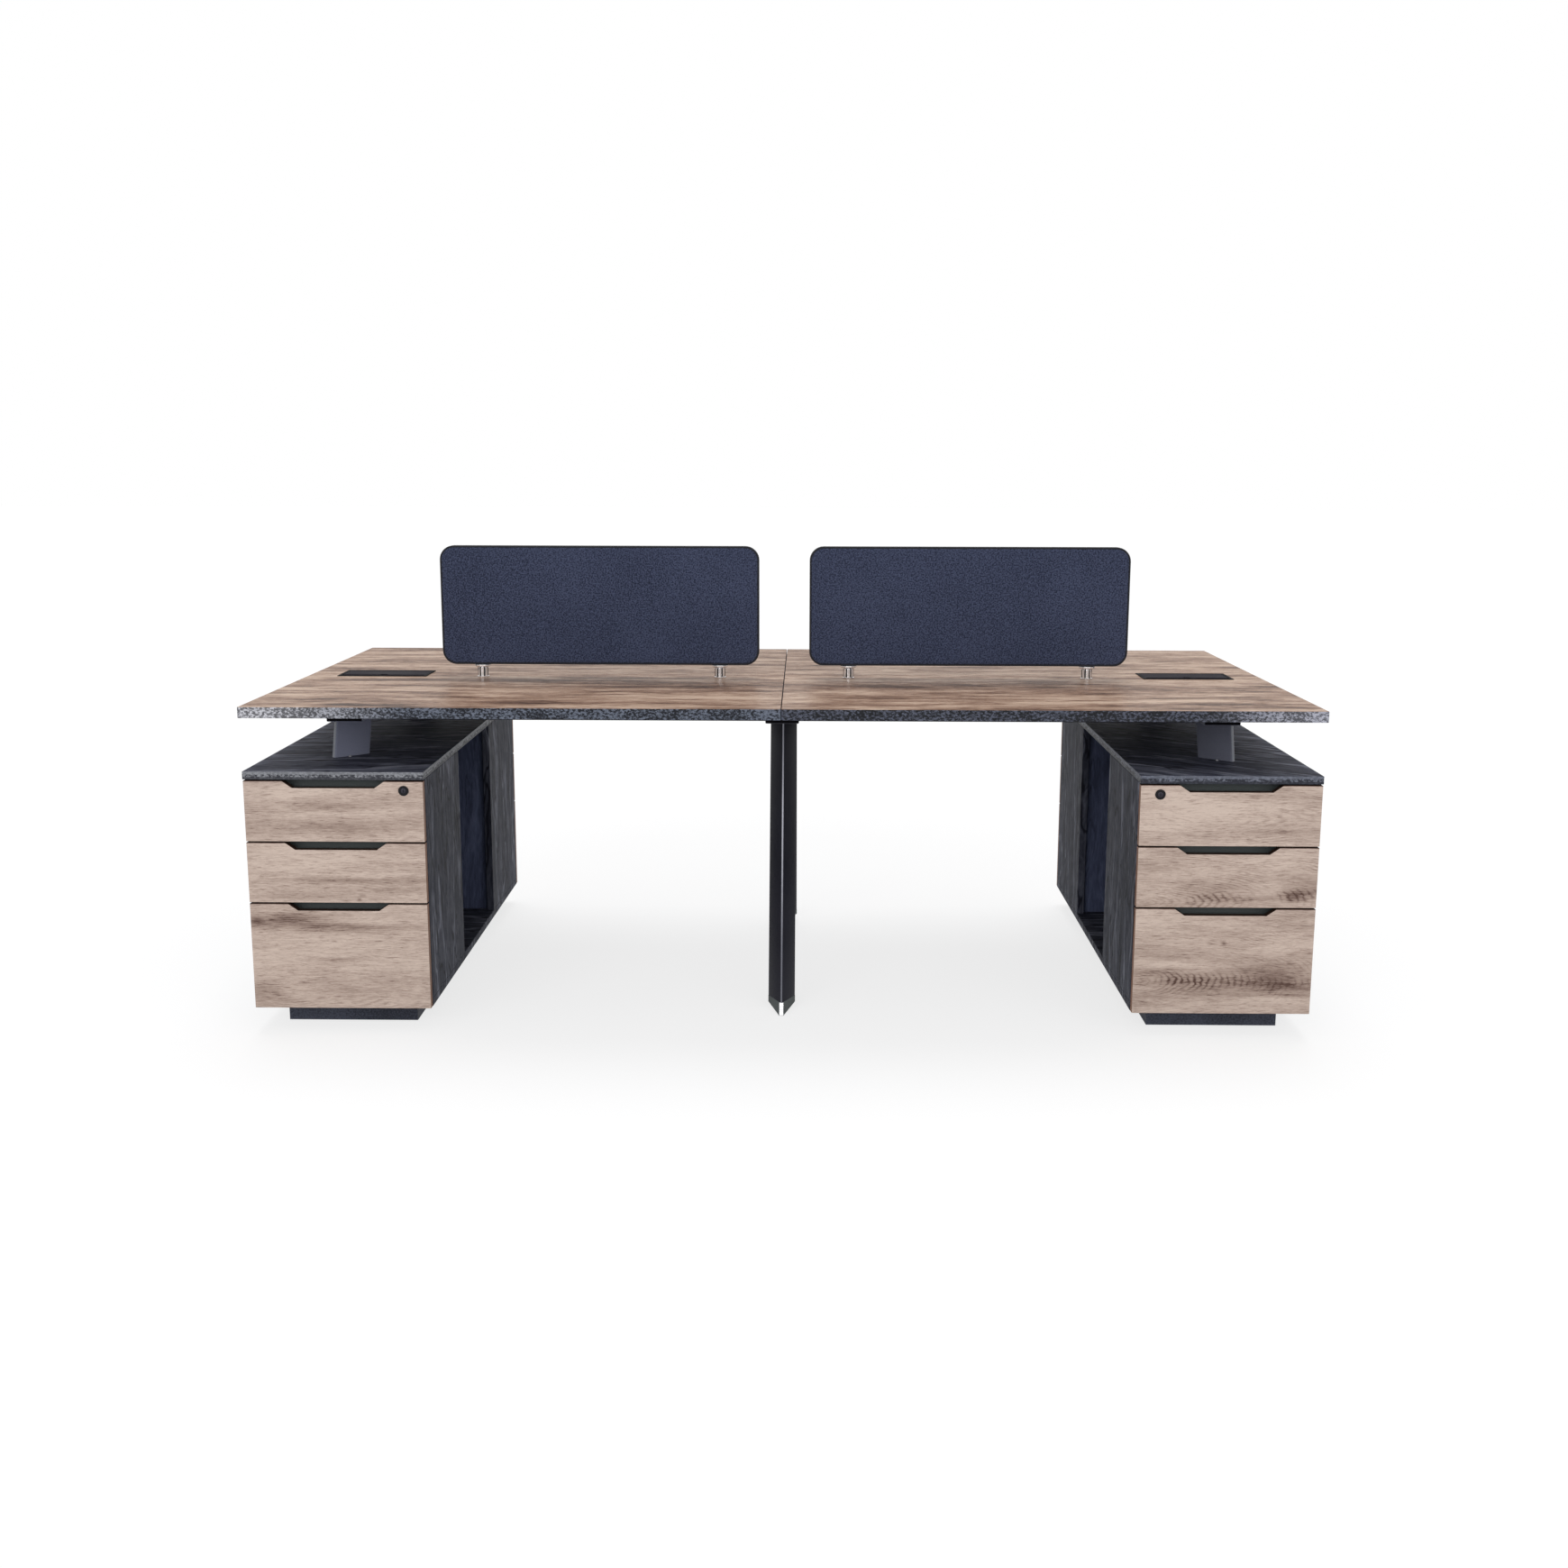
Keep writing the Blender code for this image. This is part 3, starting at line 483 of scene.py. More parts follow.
@dataclass(frozen=True)
class Oak(Finish):
    """Brown oak laminate: growth rings cut at a slant, streaks, pores and patches.

    A share says how much darker its layer makes the wood, and a band which values of the layer
    fade from none to all of it.
    """

    name: str
    stops: Stops
    seed: float
    upright: bool = False
    turned: bool = False
    middle_x: float = 0.0
    heart: Span = (0.0, 0.0)
    heart_depth: float = 0.02
    slant: float = 0.12
    ring: float = 0.0042
    ring_share: float = 0.14
    ring_band: Span = (0.44, 0.68)
    ring_zone: Layer = Layer(6.0, 26.0, 29.0)
    waver: float = 9.0
    wave: Layer = Layer(24.0, 90.0, 23.0, 3.0, 0.65)
    bend: Layer = Layer(2.6, 10.0, 0.0, 3.0)
    bend_reach: float = 0.024
    wander: Layer = Layer(13.0, 55.0, 41.0)
    wander_reach: float = 0.0035
    tone: Layer = Layer(3.4, 22.0, 3.0, 5.0, 0.6)
    tone_band: Span = (0.30, 0.74)
    tone_share: float = 0.30
    streak: Layer = Layer(14.0, 125.0, 7.0, 5.0, 0.74)
    streak_share: float = 0.62
    dash: Layer = Layer(30.0, 330.0, 13.0, 3.0, 0.6)
    dash_band: Span = (0.52, 0.72)
    dash_share: float = 0.36
    fibre: Layer = Layer(50.0, 430.0, 11.0, 3.0, 0.7)
    fibre_band: Span = (0.3, 0.7)
    fibre_share: float = 0.68
    pore: Layer = Layer(85.0, 900.0, 17.0, 1.0)
    pore_band: Span = (0.60, 0.72)
    pore_share: float = 0.16
    pit_band: Span = (0.60, 0.74)
    pit_depth: float = 0.8
    figure: Optional[Patch] = None
    figure_zone: Layer = Layer(16.0, 60.0, 37.0)
    figure_band: Span = (0.30, 0.60)
    patches: tuple[Patch, ...] = ()
    # A dark line along a facia's top: painted shade of the gap above, partly also the edging's dark
    # glue line.
    lip: float = 0.0
    lip_drop: Span = (0.0022, 0.0010)
    lip_share: float = 0.7
    roughness: Span = (0.42, 0.54)
    shine: float = 0.10
    relief_height: float = 0.00018

    def build(self, shader: Shader) -> None:
        """Makes the oak with its own figure.

        Args:
            shader: The empty tree that it is made in.
        """
        x, y, z = shader.place()
        direction = -1.0 if self.turned else 1.0
        along = (x - self.middle_x) * direction
        across = z if self.upright else y * direction
        bend = self.bend.over(shader, along, across, self.seed) - 0.5
        wander = self.wander.over(shader, along, across, self.seed) - 0.5
        level = across + bend * self.bend_reach + wander * self.wander_reach
        fibre = self.fibre.over(shader, along, level, self.seed)
        pore = self.pore.over(shader, along, level, self.seed)
        dark = self.darkness(shader, along, level, fibre, pore)
        # Painted shade of the gap above, partly the edging's glue line, darkens the facia's top.
        if self.lip:
            painted_top_shade_band = (self.lip - self.lip_drop[0], self.lip - self.lip_drop[1])
            dark = dark + shader.ease(across, painted_top_shade_band) * self.lip_share
        shader.surface(
            shader.ramp(1.0 - dark, self.stops),
            shader.ease(fibre, self.fibre_band, self.roughness),
            shine=self.shine,
            relief=fibre - shader.ease(pore, self.pit_band) * self.pit_depth,
            relief_height=self.relief_height,
        )

    def darkness(
        self, shader: Shader, along: Field, level: Field, fibre: Field, pore: Field
    ) -> Field:
        """Adds up the wood's tones, streaks, rings, pores and patches.

        Args:
            shader: The tree they are made in.
            along: How far along the grain.
            level: How far across it, following its bends.
            fibre: The fine fibres.
            pore: The pores.

        Returns:
            How dark the wood is: 0 is the palette's lightest colour and 1 its darkest.
        """
        tone = self.tone.over(shader, along, level, self.seed)
        streak = self.streak.over(shader, along, level, self.seed)
        dash = self.dash.over(shader, along, level, self.seed)
        rings = self.rings(shader, along, level)
        zone = shader.ease(self.ring_zone.over(shader, along, level, self.seed), self.ring_band)
        dark = shader.ease(1.0 - tone, self.tone_band) * self.tone_share
        dark = dark + (streak - 0.5) * self.streak_share + (fibre - 0.5) * self.fibre_share
        dark = dark + shader.ease(dash, self.dash_band) * self.dash_share
        dark = dark + (rings**3.0) * zone * self.ring_share
        dark = dark + shader.ease(pore, self.pore_band) * self.pore_share
        if self.figure:
            broken = self.figure_zone.over(shader, along, level, self.seed)
            shown = (rings**2.0) * shader.ease(broken, self.figure_band)
            dark = dark + shown * self.figure.over(shader, along, level)
        for patch in self.patches:
            dark = dark + patch.over(shader, along, level)
        return dark

    def rings(self, shader: Shader, along: Field, level: Field) -> Field:
        """Growth rings round a heart that dives into the board at a slant.

        Args:
            shader: The tree they are made in.
            along: How far along the grain.
            level: How far across it, following its bends.

        Returns:
            The rings, from 0 between them to 1 in them.
        """
        off_heart = level - self.heart[1]
        slope = (along - self.heart[0]) * self.slant + self.heart_depth
        radius = shader.math("SQRT", off_heart * off_heart + slope * slope)
        wave = self.wave.over(shader, along, level, self.seed)
        phase = radius * (FULL_TURN / self.ring) + wave * self.waver
        return shader.math("SINE", phase) * 0.5 + 0.5


@dataclass(frozen=True)
class SlateEdge(Finish):
    """Embossed slate-grey edging, mottled like bark, with a painted sheen that lightens its outer
    ends.
    """

    name: str
    low: Colour
    high: Colour
    # Painted sheen: the colour and shares that lighten the edging towards its outer ends.
    worn: Colour = srgb(226, 225, 231)
    worn_band: Span = (0.80, 1.20)
    worn_share: float = 0.0
    worn_plain: float = 0.2
    worn_mottle: float = 0.8
    # Painted shade: the edging is painted darker below this height, for the shadow of the reveal
    # beneath it.
    dim_below: float = 0.0
    dim_blur: float = 0.003
    dim_wander: float = 0.004
    dim_share: float = 0.8
    # Painted highlight: the edging is painted lighter above this height, along its top.
    arris: float = 0.0
    arris_blur: float = 0.002
    arris_share: float = 0.6
    grain_scale: Point = (120.0, 120.0, 178.0)
    grain_skew: Span = (84.0, 52.0)
    blotch_scale: Point = (16.0, 16.0, 30.0)
    blotch_share: float = 0.26
    mottle_band: Span = (0.44, 0.61)
    grain_band: Span = (0.3, 0.7)
    roughness: Span = (0.66, 0.46)
    relief_height: float = 0.0008
    shine: float = 0.25

    def build(self, shader: Shader) -> None:
        """Makes the edging.

        Args:
            shader: The empty tree that it is made in.
        """
        place = x, y, z = shader.place()
        grain = shader.noise(
            x * self.grain_scale[0] + z * self.grain_skew[0],
            y * self.grain_scale[1],
            z * self.grain_scale[2] - x * self.grain_skew[1],
            detail=3.0,
            rough=0.72,
        )
        blotch = shader.speckle(place, self.blotch_scale)
        mottle = shader.ease(grain + (blotch - 0.5) * self.blotch_share, self.mottle_band)
        colour = shader.mix(mottle, self.low, self.high)
        # Painted sheen, mixed in towards the outer ends along X.
        if self.worn_share:
            reach = shader.ease(shader.math("ABSOLUTE", x), self.worn_band)
            worn = reach * (mottle * self.worn_mottle + self.worn_plain) * self.worn_share
            colour = shader.mix(worn, colour, self.worn)
        # Painted shade: darker colour below the set height.
        if self.dim_below:
            band = (self.dim_below, self.dim_below + self.dim_blur)
            painted_shade = 1.0 - shader.ease(z + grain * self.dim_wander, band)
            colour = shader.mix(painted_shade * self.dim_share, colour, self.low)
        # Painted highlight: lighter colour above the set height.
        if self.arris:
            band = (self.arris, self.arris + self.arris_blur)
            lit = shader.ease(z + grain * self.arris_blur, band)
            colour = shader.mix(lit * self.arris_share, colour, self.high)
        shader.surface(
            colour,
            shader.ease(grain, self.grain_band, self.roughness),
            shine=self.shine,
            relief=grain,
            relief_height=self.relief_height,
        )


@dataclass(frozen=True)
class DarkWood(Finish):
    """Charcoal wood laminate with pale veins and dark cracks along its grain."""

    name: str
    axis: GrainAxis
    stops: Stops
    seed: float = 0.0
    vein: float = 0.30
    crack: float = 0.42
    broad: float = 1.0
    turn: float = 0.0
    sway: float = 0.075
    bend_layer: Layer = Layer(2.4, 5.0, 0.0, 3.0)
    broad_layer: Layer = Layer(2.8, 21.0, 0.0, 5.0, 0.62)
    grain_layer: Layer = Layer(24.0, 150.0, 0.0, 3.0, 0.7)
    vein_layer: Layer = Layer(1.9, 11.0, 5.0, 3.0, 0.45)
    crack_layer: Layer = Layer(2.6, 15.0, 9.0, 3.0, 0.45)
    vein_width: float = 0.075
    crack_width: float = 0.035
    grain_share: float = 0.70
    lift: float = 0.12
    crack_depth: float = 0.7
    grain_band: Span = (0.3, 0.7)
    roughness: Span = (0.68, 0.54)
    relief_height: float = 0.0004
    shine: float = 0.07

    def build(self, shader: Shader) -> None:
        """Makes the charcoal wood along its axis.

        Args:
            shader: The empty tree that it is made in.
        """
        x, y, z = shader.place()
        if self.turn:
            c, s = math.cos(math.radians(self.turn)), math.sin(math.radians(self.turn))
            x, y = x * c + y * s, y * c - x * s
        place = [x, y, z]
        along = place.pop(self.axis.value)
        bend = self.bend_layer.inside(shader, (along, *place), self.seed) - 0.5
        wood = (along, *(across + bend * self.sway for across in place))
        broad = self.broad_layer.inside(shader, wood, self.seed)
        grain = self.grain_layer.inside(shader, wood)
        vein = self.line(shader, self.vein_layer, wood, self.vein_width)
        crack = self.line(shader, self.crack_layer, wood, self.crack_width)
        light = (broad - 0.5) * self.broad + grain * self.grain_share
        light = light + (vein * self.vein - crack * self.crack) + self.lift
        shader.surface(
            shader.ramp(light, self.stops),
            shader.ease(grain, self.grain_band, self.roughness),
            shine=self.shine,
            relief=grain - crack * self.crack_depth,
            relief_height=self.relief_height,
        )

    def line(self, shader: Shader, layer: Layer, wood: Place, width: float) -> Field:
        """1 in thin lines where a layer crosses its middle, and 0 away from them."""
        level = layer.inside(shader, wood, self.seed) * 2.0 - 1.0
        return 1.0 - shader.ease(shader.math("ABSOLUTE", level), (0.0, width))


@dataclass(frozen=True)
class Heather(Finish):
    """Navy heather cloth: woven threads and a mix of darker and lighter fibres."""

    name: str
    low: Colour
    high: Colour
    thread: float = 0.0016
    weave_depth: float = 0.5
    fibre_scale: float = 700.0
    fibre_share: float = 0.25
    fleck_scale: float = 290.0
    fleck_share: float = 0.75
    rough: float = 0.6
    cloud_scale: float = 6.0
    cloud_share: float = 0.08
    light_band: Span = (0.37, 0.63)
    roughness: float = 0.92
    relief_height: float = 0.0005
    shine: float = 0.12
    sheen: float = 0.08

    def build(self, shader: Shader) -> None:
        """Makes the cloth.

        Args:
            shader: The empty tree that it is made in.
        """
        place = x, _, z = shader.place()
        fibre = shader.speckle(place, self.fibre_scale, rough=self.rough)
        fleck = shader.speckle(place, self.fleck_scale, rough=self.rough)
        cloud = shader.speckle(place, self.cloud_scale)
        warp, weft = (shader.math("SINE", at * (FULL_TURN / self.thread)) for at in (x, z))
        light = fibre * self.fibre_share + fleck * self.fleck_share
        light = shader.ease(light + (cloud - 0.5) * self.cloud_share, self.light_band)
        shader.surface(
            shader.mix(light, self.low, self.high),
            self.roughness,
            shine=self.shine,
            relief=warp * weft * self.weave_depth + fibre,
            relief_height=self.relief_height,
            sheen=self.sheen,
        )


@dataclass(frozen=True)
class Coated(Finish):
    """Powder-coated steel or moulded plastic: a plain colour with a fine pebble."""

    name: str
    colour: Colour
    roughness: float = 0.45
    metallic: float = 0.0
    shine: float = 0.20
    pebble: float = 900.0
    pebble_height: float = 0.00006
    variation: float = 0.16
    cloud_scale: float = 7.0
    cloud_band: Span = (0.3, 0.7)
    tone_band: Span = (0.36, 0.64)
    rough_share: Span = (0.92, 1.1)

    def build(self, shader: Shader) -> None:
        """Makes the coating.

        Args:
            shader: The empty tree that it is made in.
        """
        place = shader.place()
        pebble = shader.speckle(place, self.pebble)
        cloud = shader.speckle(place, self.cloud_scale, 3.0)
        dim, bright = (shaded(self.colour, 1 + way * self.variation) for way in (-1, 1))
        rough = tuple(self.roughness * share for share in self.rough_share)
        shader.surface(
            shader.mix(shader.ease(cloud * 0.5 + pebble * 0.5, self.tone_band), dim, bright),
            shader.ease(cloud, self.cloud_band, rough),
            self.metallic,
            self.shine,
            pebble,
            self.pebble_height,
        )


@dataclass(frozen=True)
class Rubbed(Finish):
    """The fold of a coated steel leg with a painted highlight, brighter towards its top."""

    name: str
    low: Colour
    high: Colour
    rise: Span = (0.08, 0.50)
    scuff_scale: Point = (90.0, 90.0, 22.0)
    scuff_reach: float = 0.18
    scuff_band: Span = (0.3, 0.7)
    roughness: Span = (0.30, 0.44)
    metallic: float = 0.25
    shine: float = 0.3

    def build(self, shader: Shader) -> None:
        """Makes the coating with its painted highlight.

        Args:
            shader: The empty tree that it is made in.
        """
        place = shader.place()
        ridge_noise = shader.speckle(place, self.scuff_scale, 3.0, 0.6)
        share = shader.ease(place[2] + (ridge_noise - 0.5) * self.scuff_reach, self.rise)
        rough = shader.ease(ridge_noise, self.scuff_band, self.roughness)
        shader.surface(shader.mix(share, self.low, self.high), rough, self.metallic, self.shine)


@dataclass(frozen=True)
class Polished(Finish):
    """Bright plated metal with faint wipe marks."""

    name: str
    colour: Colour = srgb(240, 240, 242)
    roughness: float = 0.09
    metallic: float = 1.0
    wipe_scale: Point = (60.0, 60.0, 700.0)
    wipe_band: Span = (0.35, 0.7)
    wipe_shade: float = 0.94
    rough_share: Span = (0.7, 1.5)

    def build(self, shader: Shader) -> None:
        """Makes the plating.

        Args:
            shader: The empty tree that it is made in.
        """
        wipe = shader.speckle(shader.place(), self.wipe_scale)
        rough = tuple(self.roughness * share for share in self.rough_share)
        colour = shader.mix(wipe, self.colour, shaded(self.colour, self.wipe_shade))
        shader.surface(colour, shader.ease(wipe, self.wipe_band, rough), self.metallic)


TOP_STOPS = (
    (0.06, srgb(58, 40, 31)),
    (0.32, srgb(102, 77, 63)),
    (0.54, srgb(146, 117, 99)),
    (0.78, srgb(176, 148, 129)),
    (1.0, srgb(204, 179, 159)),
)
FACIA_STOPS = (
    (0.10, srgb(88, 68, 61)),
    (0.36, srgb(130, 110, 101)),
    (0.58, srgb(161, 142, 131)),
    (0.80, srgb(182, 163, 152)),
    (1.0, srgb(202, 184, 172)),
)
CHARCOAL_STOPS = (
    (0.16, srgb(22, 23, 32)),
    (0.42, srgb(49, 51, 62)),
    (0.62, srgb(72, 74, 85)),
    (0.88, srgb(118, 120, 132)),
)
# Painted light: a lighter, bluer copy of the charcoal for the cabinet tops, which lie in the
# desktops' shade.
TOP_CHARCOAL_STOPS_PAINTED_LIGHT = (
    (0.16, srgb(30, 31, 42)),
    (0.42, srgb(63, 65, 79)),
    (0.62, srgb(90, 92, 106)),
    (0.88, srgb(138, 140, 154)),
)
# Painted light: a lighter, bluer copy of the charcoal for the niche walls, to offset the shade
# inside the niche.
NICHE_STOPS_PAINTED_LIGHT = (
    (0.20, srgb(44, 48, 66)),
    (0.50, srgb(66, 72, 95)),
    (0.80, srgb(92, 99, 124)),
)

# Left desktops' edging; the right ones get a darker copy, which is painted shade.
EDGE = SlateEdge("slate_edging", srgb(14, 17, 26), srgb(100, 107, 122), worn_share=0.78)
EDGE_PAINTED_SHADE = SlateEdge(
    "slate_edging_painted_shade",
    srgb(7, 9, 17),
    srgb(80, 84, 99),
    worn=srgb(194, 195, 208),
    worn_band=(0.9, 1.2),
    worn_share=0.76,
)
# Left cabinet's top edging; the right one gets a darker copy, which is painted shade.
BOARD_EDGE = SlateEdge(
    "cabinet_edging", srgb(48, 49, 56), srgb(136, 138, 144), dim_below=0.5925, arris=0.5975
)
BOARD_EDGE_PAINTED_SHADE = SlateEdge(
    "cabinet_edging_painted_shade", srgb(32, 34, 44), srgb(106, 110, 123), dim_below=0.5925, arris=0.5975
)
UPRIGHT_WOOD = DarkWood(
    "charcoal_upright", GrainAxis.Z, CHARCOAL_STOPS, seed=4.0, crack=0.50, broad=0.9, sway=0.13
)
CROSSWISE_WOOD = DarkWood("charcoal_crosswise", GrainAxis.X, CHARCOAL_STOPS, seed=9.0)
NICHE_WOOD_PAINTED_LIGHT = DarkWood(
    "niche_lining", GrainAxis.Z, NICHE_STOPS_PAINTED_LIGHT, seed=13.0, vein=0.12, crack=0.16, broad=0.7
)
TOP_WOOD = {
    Side.LEFT: DarkWood(
        "charcoal_top_left",
        GrainAxis.X,
        TOP_CHARCOAL_STOPS_PAINTED_LIGHT,
        seed=9.0,
        vein=0.26,
        crack=0.40,
        broad=1.1,
        turn=6.0,
    ),
    Side.RIGHT: DarkWood(
        "charcoal_top_right",
        GrainAxis.X,
        TOP_CHARCOAL_STOPS_PAINTED_LIGHT,
        seed=21.0,
        vein=0.34,
        crack=0.70,
        broad=1.2,
        turn=-34.0,
    ),
}
BACKING = Coated("desktop_underside", srgb(38, 39, 44), 0.6, pebble=500.0)
FACIA_EDGE = Coated("facia_edging", srgb(132, 92, 68), 0.55, pebble=400.0)
# Painted shade: the facias' top edges are painted dark for the shadow in the gap above them.
FACIA_TOP_PAINTED_SHADE = Coated("facia_top_edge_painted_shade", srgb(54, 40, 33), 0.6, shine=0.05, pebble=400.0)
FACIA_BACK = Coated("facia_back", srgb(150, 128, 112), 0.6, pebble=400.0)
CLOTH = Heather("navy_heather", srgb(34, 40, 59), srgb(79, 87, 114))
# Dark trim round the screens; its darkness is partly painted shade of the cloth's rounded edge.
CLOTH_TRIM_AND_SHADE = Coated("screen_trim_and_shade", srgb(24, 25, 32), 0.5)
BLACK_STEEL = Coated("black_coated_steel", srgb(40, 40, 48), shine=0.15)
# Painted highlight on the legs' ridge, lighter towards the top.
RIDGE_STEEL_HIGHLIGHT = Rubbed("rubbed_ridge_steel", srgb(92, 93, 102), srgb(168, 169, 179))
# Riser steel in two copies by side: the left painted lighter (painted light), the right darker
# (painted shade).
GREY_STEEL = Coated("slate_coated_steel", srgb(115, 118, 136), 0.42)
STEEL_PAINTED_SHADE = Coated("coated_steel_painted_shade", srgb(94, 96, 109), 0.42)
# Painted highlight: a lighter finish on the risers' narrow sides.
RISER_EDGE_HIGHLIGHT = Coated("rubbed_riser_edge", srgb(132, 135, 144), 0.40)
TUB_STEEL = Coated("drawer_steel", srgb(44, 47, 48), metallic=0.2)
GRIP_PLASTIC = Coated("grip_plastic", srgb(72, 78, 78), 0.5)
PORT_PLASTIC = Coated("port_frame_plastic", srgb(14, 13, 17), 0.55, shine=0.02)
LID_PLASTIC = Coated("port_lid_plastic", srgb(33, 30, 37), 0.55, shine=0.02)
BRISTLE = Coated("brush_bristle", srgb(18, 18, 20), 0.7, shine=0.03, pebble=2500.0)
LOCK_BLACK = Coated("lock_collar", srgb(24, 24, 27), 0.35, metallic=0.4)
LOCK_CORE = Coated("lock_core", srgb(54, 52, 60), 0.35, metallic=0.6)
FOOT_GREY = Coated("foot_casting", srgb(82, 88, 88), 0.42, metallic=0.2, variation=0.3)
PLINTH_SLATE = Coated(
    "plinth_laminate", srgb(64, 67, 78), 0.6, shine=0.1, pebble=240.0, variation=0.4
)
SCREW_BLACK = Coated("black_screw", srgb(20, 20, 22), 0.4, metallic=0.5)
SCREW_STEEL = Coated("riser_screw", srgb(136, 136, 142), 0.35, metallic=0.5)
CHROME = Polished("chrome")
POST_CHROME = Polished("post_chrome", srgb(250, 250, 252), 0.12, metallic=0.85)


def first_finish(centre: Vector, normal: Vector) -> int:
    """Picks the first finish for every face."""
    return 0


def dress(name: str, finishes: Sequence[Finish], pick: Picker = first_finish) -> None:
    """Gives each face of a node of the part one of several finishes.

    Args:
        name: The node.
        finishes: The finishes it carries.
        pick: Says which one from a face's centre and normal.
    """
    mesh = frame["nodes"][name].data
    mesh.materials.clear()
    for finish in finishes:
        mesh.materials.append(finish.material())
    for face in mesh.polygons:
        face.material_index = int(pick(face.center, face.normal))
    LOG.info("%s wears %s", name, ", ".join(finish.name for finish in finishes))


def smooth_node(name: str) -> None:
    """Shades a node smoothly between its sharp edges, leaving its vertices alone.

    Args:
        name: The node.
    """
    node = frame["nodes"][name]
    facets = node.data.attributes.get("custom_normal")
    if facets is not None:
        node.data.attributes.remove(facets)
    node.data.shade_smooth()
    node.modifiers.new("weld", "WELD").merge_threshold = WELD_REACH
    node.modifiers.new("sharp_edges", "EDGE_SPLIT").split_angle = math.radians(SHARP_ANGLE)


def add_object(name: str, data: bpy.types.ID) -> bpy.types.Object:
    """Makes an object and links it to the scene.

    Args:
        name: Its name.
        data: Its mesh, lamp or camera.

    Returns:
        The object.
    """
    obj = bpy.data.objects.new(name, data)
    bpy.context.scene.collection.objects.link(obj)
    return obj


def piece(
    name: str,
    bm: bmesh.types.BMesh,
    body: str,
    finishes: Sequence[Finish],
    shading: Shading = Shading.FACETED,
) -> bpy.types.Object:
    """Makes a new piece from a bmesh whose points are in the part's frame.

    Args:
        name: The piece's name.
        bm: Its shape, which is freed.
        body: The body that it rides on.
        finishes: Its finishes; a face's material_index picks one.
        shading: How smooth its edges look.

    Returns:
        The piece.
    """
    mesh = bpy.data.meshes.new(name)
    bmesh.ops.recalc_face_normals(bm, faces=bm.faces)
    bm.to_mesh(mesh)
    bm.free()
    obj = add_object(name, mesh)
    for finish in finishes:
        mesh.materials.append(finish.material())
    if shading is not Shading.FACETED:
        mesh.shade_smooth()
        mesh.set_sharp_from_angle(angle=math.radians(shading.value))
    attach(obj, body)
    LOG.info("%s rides on %s", name, body)
    return obj


def add_band(bm: bmesh.types.BMesh, low: Ring, high: Ring) -> list[bmesh.types.BMFace]:
    """Joins two rings of vertices with four-sided faces.

    Args:
        bm: Where the faces go.
        low: The first ring's vertices.
        high: The second ring's, as many.

    Returns:
        The faces, in the order of the rings.
    """
    faces = []
    for i in range(len(low)):
        j = (i + 1) % len(low)
        faces.append(bm.faces.new((low[i], low[j], high[j], high[i])))
    return faces


def add_loft(
    bm: bmesh.types.BMesh, rings: Sequence[Sequence[Point]], closed: bool = False
) -> None:
    """Joins rings of points with faces.

    Args:
        bm: Where the faces go.
        rings: Rings with the same number of points each.
        closed: Joins the last ring to the first; otherwise both get a cap.
    """
    made = [[bm.verts.new(point) for point in ring] for ring in rings]
    for low, high in zip(made, made[1:]):
        add_band(bm, low, high)
    if closed:
        add_band(bm, made[-1], made[0])
    else:
        bm.faces.new(made[0])
        bm.faces.new(made[-1])


def add_box(bm: bmesh.types.BMesh, low: Point, high: Point, chamfer: float = 0.0) -> None:
    """Adds a box with its edges broken by a small chamfer.

    Args:
        bm: Where the box goes.
        low: Its lowest corner.
        high: Its highest corner.
        chamfer: The chamfer's width; 0 leaves the edges sharp.
    """
    made = bmesh.ops.create_cube(bm, size=1.0)["verts"]
    low_point, high_point = Vector(low), Vector(high)
    bmesh.ops.scale(bm, vec=high_point - low_point, verts=made)
    bmesh.ops.translate(bm, vec=(low_point + high_point) / 2, verts=made)
    if chamfer:
        edges = list(dict.fromkeys(edge for vertex in made for edge in vertex.link_edges))
        bmesh.ops.bevel(bm, geom=edges, offset=chamfer, segments=1, affect="EDGES", profile=0.5)


def add_turned(
    bm: bmesh.types.BMesh,
    profile: Outline,
    base: Point,
    axis: Point = (0, 0, 1),
    steps: int = 40,
) -> None:
    """Turns a profile round an axis.

    Args:
        bm: Where the faces go.
        profile: Pairs of a radius and a height over the base.
        base: The point that heights start from.
        axis: The direction that heights run in.
        steps: How many faces go round.
    """
    turn = Vector((0, 0, 1)).rotation_difference(Vector(axis)).to_matrix()
    rings = []
    for radius, height in profile:
        ring = []
        for step in range(steps):
            angle = FULL_TURN * step / steps
            local = Vector((radius * math.cos(angle), radius * math.sin(angle), height))
            ring.append(tuple(Vector(base) + turn @ local))
        rings.append(ring)
    add_loft(bm, rings)


def rounded_rectangle(width: float, height: float, radius: float, steps: int = 9) -> Outline:
    """Points round a rectangle with rounded corners, about its middle.

    Args:
        width: Its width.
        height: Its height.
        radius: Its corners' radius.
        steps: How many lines make a corner.

    Returns:
        The points, from the right side round by the top.
    """
    points = []
    for quarter, (sx, sy) in enumerate(((1, 1), (-1, 1), (-1, -1), (1, -1))):
        cx, cy = sx * (width / 2 - radius), sy * (height / 2 - radius)
        for step in range(steps + 1):
            angle = math.pi / 2 * (quarter + step / steps)
            points.append((cx + radius * math.cos(angle), cy + radius * math.sin(angle)))
    return points


